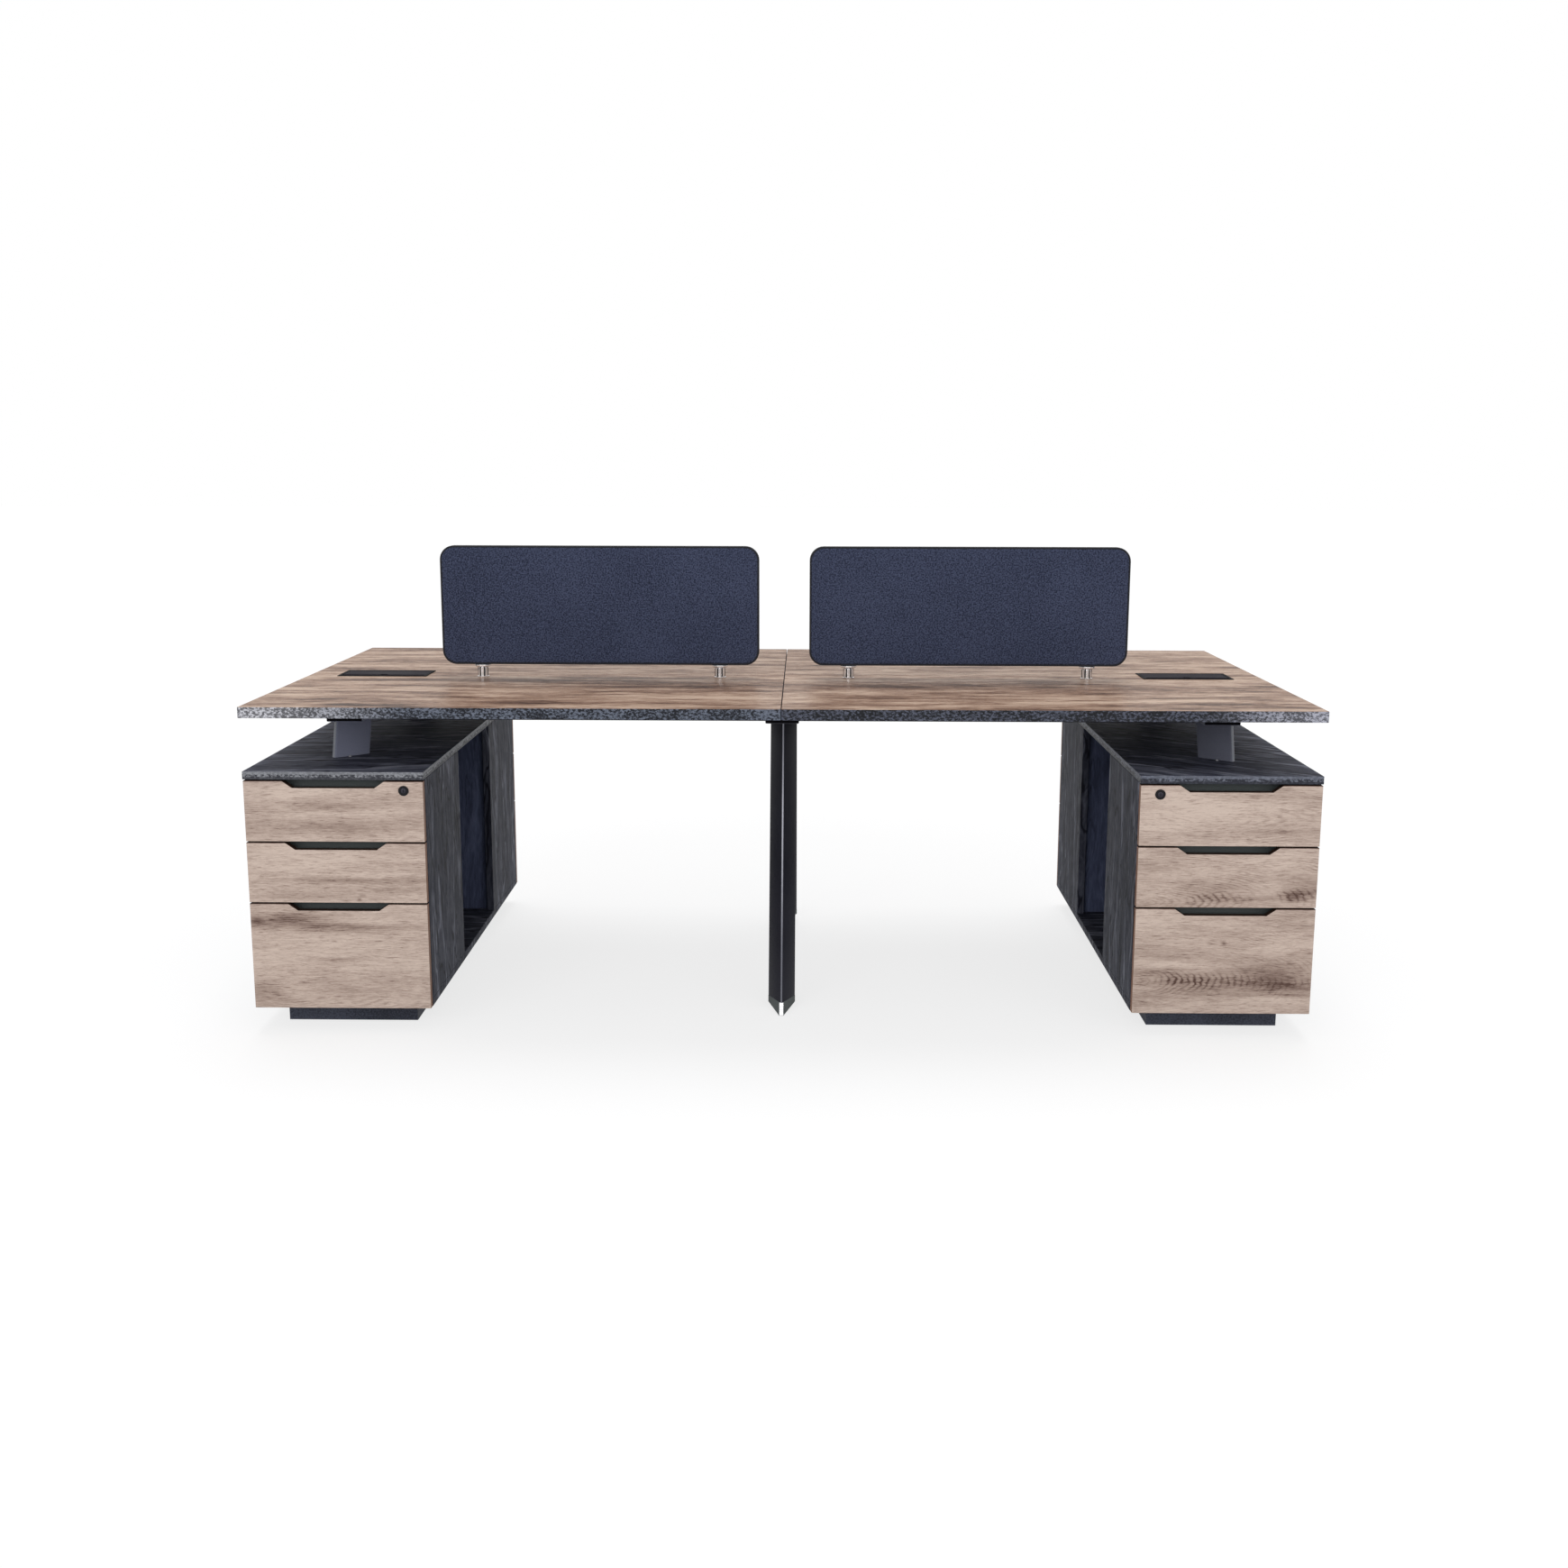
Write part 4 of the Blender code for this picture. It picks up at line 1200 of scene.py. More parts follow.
@dataclass
class Desktops:
    """Four oak tops with slate edging and a dark underside."""

    seed: float = 7.3
    seed_steps: Span = (11.0, 23.0)
    heart: Span = (0.35, 0.28)
    patches: Mapping[str, tuple[Patch, ...]] = field(
        default_factory=lambda: {
            "front_left": (
                Patch(-0.98, -0.545, 0.06, 0.020, 0.60),
                Patch(-0.86, -0.565, 0.16, 0.014, 0.36),
                Patch(-0.90, -0.44, 0.22, 0.040, 0.22),
                Patch(-0.24, -0.22, 0.42, 0.070, 0.30),
                Patch(-0.70, -0.13, 0.30, 0.030, 0.35),
                Patch(-0.35, -0.50, 0.30, 0.030, 0.24),
                Patch(-0.15, -0.42, 0.20, 0.024, -0.22),
                Patch(-1.05, -0.33, 0.20, 0.040, -0.12),
            ),
            "front_right": (
                Patch(1.00, -0.50, 0.10, 0.034, 0.46),
                Patch(1.10, -0.54, 0.07, 0.018, 0.40),
                Patch(0.40, -0.22, 0.42, 0.060, 0.26),
                Patch(0.22, -0.42, 0.10, 0.040, 0.26),
                Patch(0.62, -0.30, 0.14, 0.030, 0.20),
                Patch(0.86, -0.46, 0.34, 0.050, -0.16),
                Patch(0.45, -0.50, 0.40, 0.040, -0.12),
            ),
            "rear_left": (Patch(-0.6, 0.35, 0.5, 0.06, -0.22),),
            "rear_right": (Patch(0.7, 0.30, 0.5, 0.05, -0.22),),
        }
    )

    def dress_all(self) -> None:
        """Puts the finishes on the four tops."""
        for end in End:
            for side in Side:
                place = f"{end.label}_{side.label}"
                # The right half's darker copy of the edging is painted shade.
                edge = EDGE if side is Side.LEFT else EDGE_PAINTED_SHADE
                dress(f"desktop_{place}", (self.oak(end, side, place), edge, BACKING), self.pick)

    def oak(self, end: End, side: Side, place: str) -> Oak:
        """The oak of one top.

        Args:
            end: Whose top it is.
            side: Which half it is in.
            place: Both, as the nodes say them.

        Returns:
            The finish, with its own figure.
        """
        return Oak(
            f"oak_top_{place}",
            TOP_STOPS,
            self.seed + self.seed_steps[0] * side.value + self.seed_steps[1] * end.value,
            heart=(self.heart[0] * side.value, self.heart[1] * end.value),
            heart_depth=0.05,
            slant=0.07,
            ring=0.008,
            tone=Layer(4.2, 22.0, 3.0, 5.0, 0.6),
            tone_share=0.66,
            streak=Layer(13.0, 52.0, 7.0, 5.0, 0.74),
            streak_share=1.10,
            dash_share=0.44,
            patches=self.patches[place],
            roughness=(0.30, 0.42),
            shine=0.03,
        )

    def pick(self, centre: Vector, normal: Vector) -> BoardFace:
        """Oak above, backing below and edging round the sides.

        Args:
            centre: The face's centre, not used.
            normal: The face's normal.

        Returns:
            Which face of the top it is.
        """
        if normal.z > FACING:
            return BoardFace.SHOW
        return BoardFace.BACK if normal.z < -FACING else BoardFace.EDGE


@dataclass
class DrawerStacks:
    """Oak facias, steel tubs, finger grips and locks of the four stacks.

    A grip's section runs inwards from the facia's back and up from the cut-out's floor. The lock
    core's shoulder, its bore's floor and the key slot's depths are shares of how proud it stands.
    """

    cabinet_x: float = 0.998
    upward: float = 0.2
    grip_width: float = 0.234
    grip_height: float = 0.016
    grip_gap: float = 0.0006
    grip_wall: float = 0.0014
    grip_lip: float = 0.0215
    grip_inner: Outline = (
        (0.0004, 0.0),
        (0.0030, 0.0004),
        (0.0060, -0.0030),
        (0.0090, -0.0100),
        (0.0130, -0.0130),
        (0.0175, -0.0100),
        (0.0200, -0.0020),
    )
    grip_outer: Outline = (
        (0.0214, -0.0030),
        (0.0192, -0.0118),
        (0.0130, -0.0144),
        (0.0078, -0.0110),
        (0.0044, -0.0040),
        (0.0004, -0.0016),
    )
    lock_x: float = 0.8405
    lock_z: float = 0.562
    core_radius: float = 0.0056
    core_proud: float = 0.0006
    core_edge: float = 0.0005
    core_shoulder: float = 0.6
    core_bore: Span = (0.0019, 0.0017)
    bore_floor: float = 0.2
    slot_half: Span = (0.0007, 0.0042)
    slot_depth: Span = (0.3, 1.3)
    figures: Mapping[tuple[Side, Level], dict[str, object]] = field(
        default_factory=lambda: {
            (Side.LEFT, Level.UPPER): {
                "seed": 31.0,
                "heart": (-0.02, 0.462),
                "patches": (
                    Patch(-0.03, 0.528, 0.075, 0.014, 0.24),
                    Patch(0.03, 0.474, 0.12, 0.016, 0.24),
                    Patch(-0.14, 0.56, 0.10, 0.02, -0.08),
                ),
            },
            (Side.LEFT, Level.MIDDLE): {
                "seed": 47.0,
                "heart": (0.10, 0.330),
                "patches": (
                    Patch(0.04, 0.356, 0.16, 0.008, 0.26),
                    Patch(0.13, 0.334, 0.08, 0.007, 0.28),
                    Patch(-0.03, 0.318, 0.22, 0.008, 0.16),
                    Patch(0.05, 0.405, 0.20, 0.020, -0.12),
                    Patch(0.048, 0.312, 0.005, 0.004, 0.5),
                ),
            },
            (Side.LEFT, Level.LOWER): {
                "seed": 62.0,
                "heart": (-0.03, 0.088),
                "ring_share": 0.26,
                "patches": (
                    Patch(-0.14, 0.266, 0.10, 0.018, 0.40),
                    Patch(-0.188, 0.264, 0.016, 0.010, 0.40),
                    Patch(0.00, 0.246, 0.16, 0.010, 0.30),
                    Patch(0.00, 0.170, 0.05, 0.006, 0.26),
                    Patch(0.02, 0.200, 0.20, 0.030, -0.12),
                    Patch(-0.18, 0.098, 0.05, 0.016, 0.24),
                    Patch(0.0, 0.100, 0.07, 0.008, 0.20),
                ),
            },
            (Side.RIGHT, Level.UPPER): {
                "seed": 78.0,
                "heart": (0.02, 0.505),
                "ring_share": 0.20,
                "patches": (
                    Patch(0.0, 0.53, 0.25, 0.06, -0.08),
                    Patch(0.12, 0.474, 0.08, 0.006, 0.12),
                ),
            },
            (Side.RIGHT, Level.MIDDLE): {
                "seed": 93.0,
                "heart": (-0.10, 0.318),
                "ring_share": 0.28,
                "slant": 0.24,
                "figure": Patch(-0.055, 0.328, 0.085, 0.026, 0.42),
                "patches": (
                    Patch(-0.03, 0.332, 0.08, 0.024, 0.28),
                    Patch(0.15, 0.332, 0.030, 0.012, 0.40),
                    Patch(0.18, 0.344, 0.05, 0.024, 0.30),
                    Patch(0.10, 0.322, 0.10, 0.008, 0.20),
                    Patch(0.08, 0.372, 0.12, 0.014, 0.14),
                ),
            },
            (Side.RIGHT, Level.LOWER): {
                "seed": 109.0,
                "heart": (-0.22, 0.131),
                "heart_depth": 0.004,
                "ring_share": 0.16,
                "slant": 0.28,
                "waver": 8.0,
                "figure": Patch(-0.080, 0.129, 0.080, 0.015, 0.56),
                "patches": (
                    Patch(-0.07, 0.130, 0.15, 0.013, 0.18),
                    Patch(0.12, 0.150, 0.085, 0.028, 0.30),
                    Patch(0.14, 0.120, 0.10, 0.012, 0.26),
                    Patch(-0.15, 0.148, 0.05, 0.006, 0.30),
                    Patch(-0.13, 0.168, 0.07, 0.010, -0.34),
                    Patch(0.12, 0.089, 0.08, 0.008, -0.20),
                    Patch(0.15, 0.099, 0.06, 0.004, 0.24),
                    Patch(0.00, 0.222, 0.006, 0.005, 0.45),
                    Patch(0.0, 0.130, 0.30, 0.070, 0.16),
                ),
            },
        }
    )

    def dress_all(self) -> None:
        """Puts the finishes on every facia, tub and lock, and adds grips and lock cores."""
        for end in End:
            for side in Side:
                for level in Level:
                    self.dress_drawer(end, side, level)
                self.dress_lock(end, side)

    def dress_drawer(self, end: End, side: Side, level: Level) -> None:
        """Finishes one drawer and adds its grip.

        Args:
            end: Whose drawer it is.
            side: Which cabinet it is in.
            level: Its place in the stack.
        """
        place = f"{end.label}_{side.label}_{level.value}"
        seen = side if end is End.FRONT else Side(-side.value)
        low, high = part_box(f"drawer_facia_{place}")
        oak = Oak(
            f"oak_facia_{place}",
            FACIA_STOPS,
            upright=True,
            turned=end is End.REAR,
            middle_x=side.value * self.cabinet_x,
            lip=high.z,
            **self.figures[seen, level],
        )
        finishes = (oak, FACIA_EDGE, FACIA_BACK, FACIA_TOP_PAINTED_SHADE)
        dress(f"drawer_facia_{place}", finishes, partial(self.pick, end))
        dress(f"drawer_tub_{place}", (TUB_STEEL,))
        back = low.y if end is End.REAR else high.y
        self.add_grip(place, (side.value * self.cabinet_x, back, high.z), -end.value)

    def pick(self, end: End, centre: Vector, normal: Vector) -> BoardFace:
        """Oak in front, plain board behind, painted shade on the top edge and brown edging
        elsewhere.

        Args:
            end: Whose side the facia is on.
            centre: The face's centre, not used.
            normal: The face's normal.

        Returns:
            Which face of the facia it is.
        """
        outward = normal.y * end.value
        if abs(outward) > FACING:
            return BoardFace.SHOW if outward > 0 else BoardFace.BACK
        # Top edges get the dark finish, which is painted shade.
        return BoardFace.TOP_EDGE if normal.z > self.upward else BoardFace.EDGE

    def add_grip(self, place: str, cut: Point, inward: int) -> None:
        """Adds the moulded pocket behind a facia's finger cut-out.

        Args:
            place: The drawer, as the nodes say it.
            cut: The middle of the facia's top edge, at its back.
            inward: The sign of Y into the drawer.
        """
        middle, back, floor = cut[0], cut[1], cut[2] - self.grip_height
        half, wall = self.grip_width / 2, self.grip_wall
        lip, top = self.grip_lip, self.grip_height - self.grip_gap
        pocket = [*self.grip_inner, (lip, top), (lip + wall, top), *self.grip_outer]
        cheek = [*self.grip_inner, (lip, top), (self.grip_inner[0][0], top)]

        def across(section: Outline, places: Sequence[float]) -> list[list[Point]]:
            """The section at several places across the drawer."""
            line = [(back + inward * depth, floor + height) for depth, height in section]
            return [[(middle + x, y, z) for y, z in line] for x in places]

        bm = bmesh.new()
        add_loft(bm, across(pocket, (-half, -half + wall, half - wall, half)))
        for x in (-half, half - wall):
            add_loft(bm, across(cheek, (x, x + wall)))
        body, finishes = f"drawer_{place}", (GRIP_PLASTIC,)
        piece(f"grip_{place}", bm, body, finishes, Shading.MOULDED)

    def dress_lock(self, end: End, side: Side) -> None:
        """Finishes a lock and adds its core with the key slot.

        Args:
            end: Whose lock it is.
            side: Which cabinet it is in.
        """
        place = f"{end.label}_{side.label}"
        name = f"drawer_lock_{place}"
        dress(name, (LOCK_BLACK,))
        smooth_node(name)
        low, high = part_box(name)
        face = low.y if end is End.FRONT else high.y
        x, z = side.value * self.lock_x, self.lock_z
        r, proud = self.core_radius, self.core_proud
        bore, bore_end = self.core_bore
        profile = [(r, 0.0), (r, proud * self.core_shoulder), (r - self.core_edge, proud)]
        profile += [(bore, proud), (bore_end, proud * self.bore_floor)]
        bm = bmesh.new()
        add_turned(bm, profile, (x, face, z), (0, end.value, 0), steps=32)
        body = f"lock_{place}"
        piece(f"lock_core_{place}", bm, body, (LOCK_CORE,), Shading.TURNED)
        wide, tall = self.slot_half
        y_low, y_high = sorted(face + end.value * proud * depth for depth in self.slot_depth)
        bm = bmesh.new()
        add_box(bm, (x - wide, y_low, z - tall), (x + wide, y_high, z + tall))
        piece(f"key_slot_{place}", bm, body, (LOCK_BLACK,))


@dataclass
class Cabinets:
    """Charcoal cabinets: tops, bases on plinths, sides, niche walls and drawer channels."""

    half_width: float = 0.202
    centre_x: float = 0.998
    board: float = 0.018
    niche_wall_back: float = 0.241
    niche_slack: float = 0.001
    plinth_top: float = 0.0555
    slack: float = 0.0004

    def dress_all(self) -> None:
        """Puts the finishes on both cabinets."""
        base = (UPRIGHT_WOOD, CROSSWISE_WOOD, PLINTH_SLATE)
        wall = (UPRIGHT_WOOD, NICHE_WOOD_PAINTED_LIGHT, TUB_STEEL)
        for side in Side:
            # The right cabinet's darker copy of the edging is painted shade.
            edge = BOARD_EDGE if side is Side.LEFT else BOARD_EDGE_PAINTED_SHADE
            dress(f"cabinet_top_{side.label}", (TOP_WOOD[side], edge), self.pick_flat)
            dress(f"cabinet_base_{side.label}", base, self.pick_base)
            dress(f"outer_side_{side.label}", wall, self.pick_side)
            for end in End:
                dress(f"inner_side_{end.label}_{side.label}", wall, self.pick_side)

    def pick_flat(self, centre: Vector, normal: Vector) -> BoardFace:
        """Wood above and below, edging round the sides."""
        return BoardFace.SHOW if abs(normal.z) > FACING else BoardFace.EDGE

    def pick_base(self, centre: Vector, normal: Vector) -> BaseFace:
        """Plain laminate on the plinth and wood on the bottom board.

        Args:
            centre: The face's centre.
            normal: The face's normal.

        Returns:
            Which face of the base it is.
        """
        if centre.z < self.plinth_top:
            return BaseFace.PLINTH
        return BaseFace.FLAT if abs(normal.z) > FACING else BaseFace.UPRIGHT

    def pick_side(self, centre: Vector, normal: Vector) -> WallFace:
        """Steel on the channels, lighter wood with painted light on the niche's walls and wood
        elsewhere.

        Args:
            centre: The face's centre.
            normal: The face's normal.

        Returns:
            Which face of the side it is.
        """
        from_middle = abs(abs(centre.x) - self.centre_x)
        from_seam = abs(centre.y)
        inside = from_middle < self.half_width - self.board - self.slack
        if inside and from_seam > self.niche_wall_back + self.slack:
            return WallFace.CHANNEL
        off_wall = abs(from_seam - self.niche_wall_back + self.board)
        # The niche walls get the lighter wood: painted light.
        on_wall = abs(normal.y) > FACING and off_wall < self.niche_slack
        return WallFace.NICHE if on_wall else WallFace.WOOD


@dataclass
class DeskScreen:
    """An upholstered screen: two cloth faces in a dark rim, on two chrome posts.

    The outlines are pairs: an inset and a drop for the pad's swell, a radius and a height for the
    post. The neck's and the head's heights count from the post's top, and the head's radii from
    the post's own. A flute's bank is in radians.
    """

    side: Side
    corner: float = 0.035
    least_corner: float = 0.004
    swell: Outline = (
        (0.0, 0.0060),
        (0.0, 0.0030),
        (0.0006, 0.0016),
        (0.0018, 0.0007),
        (0.006, 0.0002),
        (0.020, 0.0),
    )
    rim: float = 0.0042
    rim_half: float = 0.0098
    rim_round: Span = (0.0010, 0.0012)
    rim_tuck: Span = (0.001, 0.002)
    foot: Outline = (
        (0.0138, 0.0),
        (0.0145, 0.0005),
        (0.0145, 0.0018),
        (0.0136, 0.0026),
        (0.0110, 0.0030),
    )
    neck: Outline = ((0.0118, -0.0090), (0.0136, -0.0072))
    head: Outline = ((-0.0012, -0.0046), (0.0, -0.0034), (0.0, -0.0006), (-0.0006, 0.0))
    stem_foot: float = 0.0026
    stem_ends: float = 0.0108
    stem_radius: float = 0.0134
    flutes: int = 8
    flute_width: float = 0.0030
    flute_depth: float = 0.0016
    flute_bank: float = 0.02
    between_flutes: int = 4

    def build(self) -> None:
        """Makes the pad, its rim and the posts."""
        node = f"screen_{self.side.label}"
        low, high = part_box(node)
        self.add_pad(node, low, high)
        self.add_rim(low, high)
        for place in ("outer", "inner"):
            self.add_post(f"screen_post_{self.side.label}_{place}")

    def outline(self, low: Vector, high: Vector, inset: float, y: float) -> list[Point]:
        """The screen's outline at one depth.

        Args:
            low: The screen's lowest corner.
            high: Its highest corner.
            inset: How far the outline is drawn in.
            y: The depth.

        Returns:
            The outline's points.
        """
        size, middle = high - low, (low + high) / 2
        corner = max(self.corner - inset, self.least_corner)
        flat = rounded_rectangle(size.x - 2 * inset, size.z - 2 * inset, corner)
        return [(middle.x + u, y, middle.z + v) for u, v in flat]

    def add_pad(self, node: str, low: Vector, high: Vector) -> None:
        """Makes the cloth-covered panel, which swells gently from its rim.

        Args:
            node: The plain screen that it stands for.
            low: The screen's lowest corner.
            high: Its highest corner.
        """
        middle, half = (low.y + high.y) / 2, (high.y - low.y) / 2
        front = [(inset, middle - half + drop) for inset, drop in reversed(self.swell)]
        rear = [(inset, middle + half - drop) for inset, drop in self.swell]
        bm = bmesh.new()
        add_loft(bm, [self.outline(low, high, self.rim + inset, y) for inset, y in front + rear])
        name = f"screen_pad_{self.side.label}"
        pad = piece(name, bm, CARCASS, (CLOTH,), Shading.STUFFED)
        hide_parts(node)

    def add_rim(self, low: Vector, high: Vector) -> None:
        """Makes the dark band round the panel, a trim whose darkness is partly painted shade of the
        cloth's rounded edge.

        Args:
            low: The screen's lowest corner.
            high: Its highest corner.
        """
        middle, half = (low.y + high.y) / 2, self.rim_half
        inset, fall = self.rim_round
        tuck, drop = self.rim_tuck
        front = [
            (0.0, half - fall),
            (inset, half),
            (self.rim, half),
            (self.rim + tuck, half - drop),
        ]
        section = [(0.0, fall - half)] + front + [(u, -v) for u, v in reversed(front[1:])]
        bm = bmesh.new()
        add_loft(bm, [self.outline(low, high, u, middle + v) for u, v in section], closed=True)
        name = f"screen_rim_{self.side.label}"
        piece(name, bm, CARCASS, (CLOTH_TRIM_AND_SHADE,), Shading.MOULDED)

    def add_post(self, node: str) -> None:
        """Makes a chrome post with a flared head, a foot ring and a fluted stem.

        Args:
            node: The plain post that it stands for.
        """
        low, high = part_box(node)
        x, y, base = (low.x + high.x) / 2, (low.y + high.y) / 2, low.z
        radius, height = (high.x - low.x) / 2, high.z - low.z
        top = [*self.neck, *((radius + r, h) for r, h in self.head)]
        bm = bmesh.new()
        add_turned(bm, self.foot, (x, y, base), steps=48)
        add_turned(bm, [(r, height + h) for r, h in top], (x, y, base), steps=48)
        self.add_stem(bm, (x, y, base + self.stem_foot), height - self.stem_ends)
        finishes = (POST_CHROME, SCREW_BLACK)
        post = piece(node + "_turned", bm, CARCASS, finishes, Shading.TURNED)
        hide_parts(node)

    def add_stem(self, bm: bmesh.types.BMesh, base: Point, height: float) -> None:
        """Adds the stem, with dark flutes sunk in it.

        Args:
            bm: Where the faces go.
            base: The middle of its lower end.
            height: Its height.
        """
        ring, sunk = self.stem_ring()
        levels = []
        for z in (0.0, height):
            points = []
            for angle, r in ring:
                x, y = base[0] + r * math.cos(angle), base[1] + r * math.sin(angle)
                points.append((x, y, base[2] + z))
            levels.append([bm.verts.new(point) for point in points])
        low, high = levels
        for i, face in enumerate(add_band(bm, low, high)):
            in_flute = i in sunk or (i + 1) % len(ring) in sunk
            face.material_index = int(PostFace.FLUTE if in_flute else PostFace.CHROME)
        bm.faces.new(low)
        bm.faces.new(high)

    def stem_ring(self) -> tuple[Outline, set[int]]:
        """The stem's section.

        Returns:
            Pairs of an angle and a radius, and the numbers of those that lie in a flute.
        """
        ring, sunk = [], set()
        half, bank = self.flute_width / 2 / self.stem_radius, self.flute_bank
        deep = self.stem_radius - self.flute_depth
        gap = FULL_TURN / self.flutes - 2 * half - 2 * bank
        for flute in range(self.flutes):
            middle = FULL_TURN * (flute + 0.5) / self.flutes - math.pi / 2
            ring.append((middle - half - bank, self.stem_radius))
            sunk.update((len(ring), len(ring) + 1))
            ring += [(middle - half, deep), (middle + half, deep)]
            for step in range(self.between_flutes):
                at = middle + half + bank + gap * step / self.between_flutes
                ring.append((at, self.stem_radius))
        return ring, sunk


@dataclass
class SteelFrame:
    """Risers, centre frame, feet and tray, with end caps, nose strips and screws.

    A screw's outline is pairs of a radius and a height; the dome's are shares of its screw's. A
    riser's run is the direction of its broad side, and the legs' lean is in degrees.
    """

    beam_front: float = 0.420
    beam_low: float = 0.6897
    beam_high: float = 0.7247
    short_beam_half: float = 0.0425
    centre_beam_half: float = 0.039
    cap_wall: float = 0.0016
    cap_inset: float = 0.002
    cap_chamfer: float = 0.0005
    screw_radius: float = 0.0042
    screw_head: Outline = (
        (0.0042, 0.0),
        (0.0042, 0.0008),
        (0.0034, 0.0018),
        (0.0020, 0.0018),
        (0.0018, 0.0006),
    )
    screw_inset: Span = (0.009, 0.010)
    leg_below: float = 0.01
    ridge_half: float = 0.003
    ridge_flat: float = 0.84
    riser_x: float = 1.012
    riser_y: float = 0.376
    riser_run: Span = (0.719, 0.695)
    riser_half: float = 0.008
    riser_edge_turn: float = 0.3
    dome: Outline = ((1.0, 0.0), (1.0, 0.3), (0.8, 0.75), (0.4, 1.0), (0.34, 0.6))
    dome_height: float = 0.0032
    dome_along: float = 0.010
    dome_gap: float = 0.0008
    nose_half: float = 0.0046
    nose_low: float = 0.0010
    nose_high: float = 0.0286
    nose_proud: float = 0.0010
    overlap: float = 0.0002
    lean: float = 22.0

    def dress_all(self) -> None:
        """Finishes the steelwork and adds its small pieces."""
        for end in End:
            for side in Side:
                place = f"{end.label}_{side.label}"
                # Left risers get the lighter copy and right risers the darker one: painted light
                # and painted shade.
                steel = GREY_STEEL if side is Side.LEFT else STEEL_PAINTED_SHADE
                pick = partial(self.pick_riser, side.value * end.value)
                dress(f"riser_{place}", (steel, RISER_EDGE_HIGHLIGHT), pick)
                smooth_node(f"riser_{place}")
                self.add_riser_screw(end, side)
                self.add_beam_end(place, end, side.value * self.riser_x, self.short_beam_half)
            dress(f"foot_cap_{end.label}", (FOOT_GREY,))
            self.add_nose(end)
            self.add_beam_end(f"{end.label}_centre", end, 0.0, self.centre_beam_half)
        dress("centre_frame", (BLACK_STEEL, RIDGE_STEEL_HIGHLIGHT), self.pick_ridge)
        smooth_node("centre_frame")
        dress("cable_tray", (BLACK_STEEL,))

    def pick_riser(self, hand: int, centre: Vector, normal: Vector) -> SteelFace:
        """Painted highlight on a riser's narrow sides; hand is the way it is turned, 1 or -1."""
        narrow = normal.x * normal.y * hand > self.riser_edge_turn
        return SteelFace.RUBBED if narrow else SteelFace.PLAIN

    def pick_ridge(self, centre: Vector, normal: Vector) -> SteelFace:
        """Painted highlight on the blunt ridge of a leg, which faces its user.

        Args:
            centre: The face's centre.
            normal: The face's normal.

        Returns:
            Which face of the frame it is.
        """
        on_ridge = centre.z < self.beam_low - self.leg_below and abs(centre.x) < self.ridge_half
        ridge = on_ridge and abs(normal.y) > self.ridge_flat
        return SteelFace.RUBBED if ridge else SteelFace.PLAIN

    def add_riser_screw(self, end: End, side: Side) -> None:
        """Adds the domed screw before a riser's foot.

        Args:
            end: Whose riser it is.
            side: Which half it is in.
        """
        r, rise = self.screw_radius, self.dome_height
        along, across = self.riser_run
        run = Vector((along * side.value, across * end.value, 0.0))
        out = Vector((-across * side.value, along * end.value, 0.0))
        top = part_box(f"cabinet_top_{side.label}")[1].z
        foot = Vector((self.riser_x * side.value, self.riser_y * end.value, top))
        base = foot + run * self.dome_along + out * (self.riser_half + r + self.dome_gap)
        dome = [(r * across_share, rise * up_share) for across_share, up_share in self.dome]
        bm = bmesh.new()
        add_turned(bm, dome, tuple(base), steps=24)
        name = f"riser_screw_{end.label}_{side.label}"
        piece(name, bm, CARCASS, (SCREW_STEEL,), Shading.TURNED)

    def add_beam_end(self, place: str, end: End, x: float, half: float) -> None:
        """Adds the plastic cap on a beam's outer end with its two screws.

        Args:
            place: The beam, as the pieces' names say it.
            end: Which end of the beam it is.
            x: The beam's middle.
            half: Half the beam's width.
        """
        y, inset = end.value * self.beam_front, self.cap_inset
        cap_face = y + end.value * self.cap_wall
        near, far = sorted((y - end.value * self.overlap, cap_face))
        low, high = self.beam_low + inset, self.beam_high - inset
        bm = bmesh.new()
        corners = (x - half + inset, near, low), (x + half - inset, far, high)
        add_box(bm, *corners, self.cap_chamfer)
        piece(f"beam_cap_{place}", bm, CARCASS, (PORT_PLASTIC,))
        bm = bmesh.new()
        for way in (-1, 1):
            at = x + way * (half - self.screw_inset[0])
            base = (at, cap_face, self.beam_high - self.screw_inset[1])
            add_turned(bm, self.screw_head, base, (0, end.value, 0), steps=20)
        name = f"beam_screws_{place}"
        piece(name, bm, CARCASS, (SCREW_BLACK,), Shading.TURNED)

    def add_nose(self, end: End) -> None:
        """Adds the bright strip on the nose of a foot, which leans with its leg.

        Args:
            end: Whose foot it is.
        """
        low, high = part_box(f"foot_cap_{end.label}")
        toe, slope = max(-low.y, high.y), math.tan(math.radians(self.lean))
        half, bottom, top = self.nose_half, self.nose_low, self.nose_high
        corners = ((-half, bottom), (half, bottom), (half, top), (-half, top))
        rings = []
        for proud in (-self.overlap, self.nose_proud):
            rings.append([(x, end.value * (toe - z * slope + proud), z) for x, z in corners])
        bm = bmesh.new()
        add_loft(bm, rings)
        piece(f"foot_nose_{end.label}", bm, CARCASS, (CHROME,))


